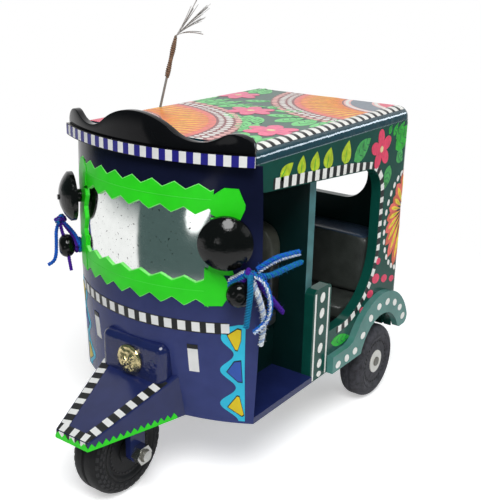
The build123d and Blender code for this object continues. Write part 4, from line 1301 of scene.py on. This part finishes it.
def lamp(name, place, aim, size, power, colour=(1, 1, 1)):
    data = bpy.data.lights.new(name, "AREA")
    data.shape = "ELLIPSE"
    data.size, data.size_y = size
    data.energy = power
    data.color = colour
    obj = add_object(name, data)
    obj.location = place
    obj.rotation_euler = (Vector(aim) - Vector(place)).to_track_quat("-Z", "Y").to_euler()


def studio_world():
    """White where it is seen, a plain fill for the rest, and a dark side behind the camera in reflections."""
    world = bpy.data.worlds.new("studio")
    bpy.context.scene.world = world
    world.use_nodes = True
    tree = world.node_tree
    tree.nodes.clear()

    def combine(operation, a, b):
        return shade(tree, "Math", {0: a, 1: b}, operation=operation).outputs[0]

    def light(colour, strength):
        return shade(tree, "Background", {"Color": colour, "Strength": strength}).outputs[0]

    rays = shade(tree, "LightPath").outputs
    where = shade(tree, "TexCoord").outputs["Generated"]
    way = shade(tree, "SeparateXYZ", {0: where}).outputs
    # reflections darken behind the camera, overhead towards the front, and on the toy's left
    facing = shade(tree, "VectorMath", {0: where, 1: (0.633, 0.774, 0.0)}, operation="DOT_PRODUCT").outputs["Value"]
    behind = smooth_range(tree, facing, 0.04, 0.085)
    overhead = combine("MULTIPLY", smooth_range(tree, way["Z"], -0.20, 0.0), smooth_range(tree, way["X"], -0.2, 0.2))
    left = smooth_range(tree, way["Y"], 0.20, 0.50, 0.0, 0.85)
    dark = combine("MAXIMUM", combine("MAXIMUM", behind, overhead), left)
    tone = shade(tree, "Mix", {"Factor": dark, "A": plain_white, "B": (0.075, 0.120, 0.115, 1)}, data_type="RGBA")
    mirrored = combine("MAXIMUM", rays["Is Glossy Ray"], rays["Is Transmission Ray"])
    around = shade(tree, "MixShader", {"Fac": mirrored, 1: light(plain_white, 0.38),
                                       2: light(tone.outputs["Result"], 1.0)})
    shown = shade(tree, "MixShader", {"Fac": rays["Is Camera Ray"], 1: around.outputs[0], 2: light(plain_white, 1.0)})
    shade(tree, "OutputWorld", {"Surface": shown.outputs[0]})


stage_floor()
studio_world()
lamp("key", (0.45, 0.35, 0.75), (0, 0, 0.08), (0.45, 0.45), 5.7)
lamp("side", (-0.1, 0.8, 0.45), (0, 0, 0.08), (0.5, 0.4), 0.4)
lamp("rim", (-0.75, 0.50, 0.36), (-0.02, 0.05, 0.15), (0.5, 0.11), 1.3, (0.80, 0.90, 1.0))
lamp("spot", (0.886, 0.150, 0.095), (0.06, 0, 0.11), (0.25, 0.22), 0.19)

camera_data = bpy.data.cameras.new("camera")
camera_data.lens = 61.2
camera_data.sensor_width = 36.0
camera = add_object("camera", camera_data)
yaw, pitch, roll = radians(35.641), radians(18.96), radians(1.165)
back = Vector((cos(yaw) * cos(pitch), sin(yaw) * cos(pitch), sin(pitch)))
right = Vector((-sin(yaw), cos(yaw), 0))
up = back.cross(right)
rolled_right = right * cos(roll) + up * sin(roll)
rolled_up = up * cos(roll) - right * sin(roll)
place = Vector((313.36, 233.73, 225.70)) * MM
camera.matrix_world = Matrix.Translation(place) @ Matrix((rolled_right, rolled_up, back)).transposed().to_4x4()
bpy.context.scene.camera = camera
bpy.context.scene.view_settings.view_transform = "Standard"
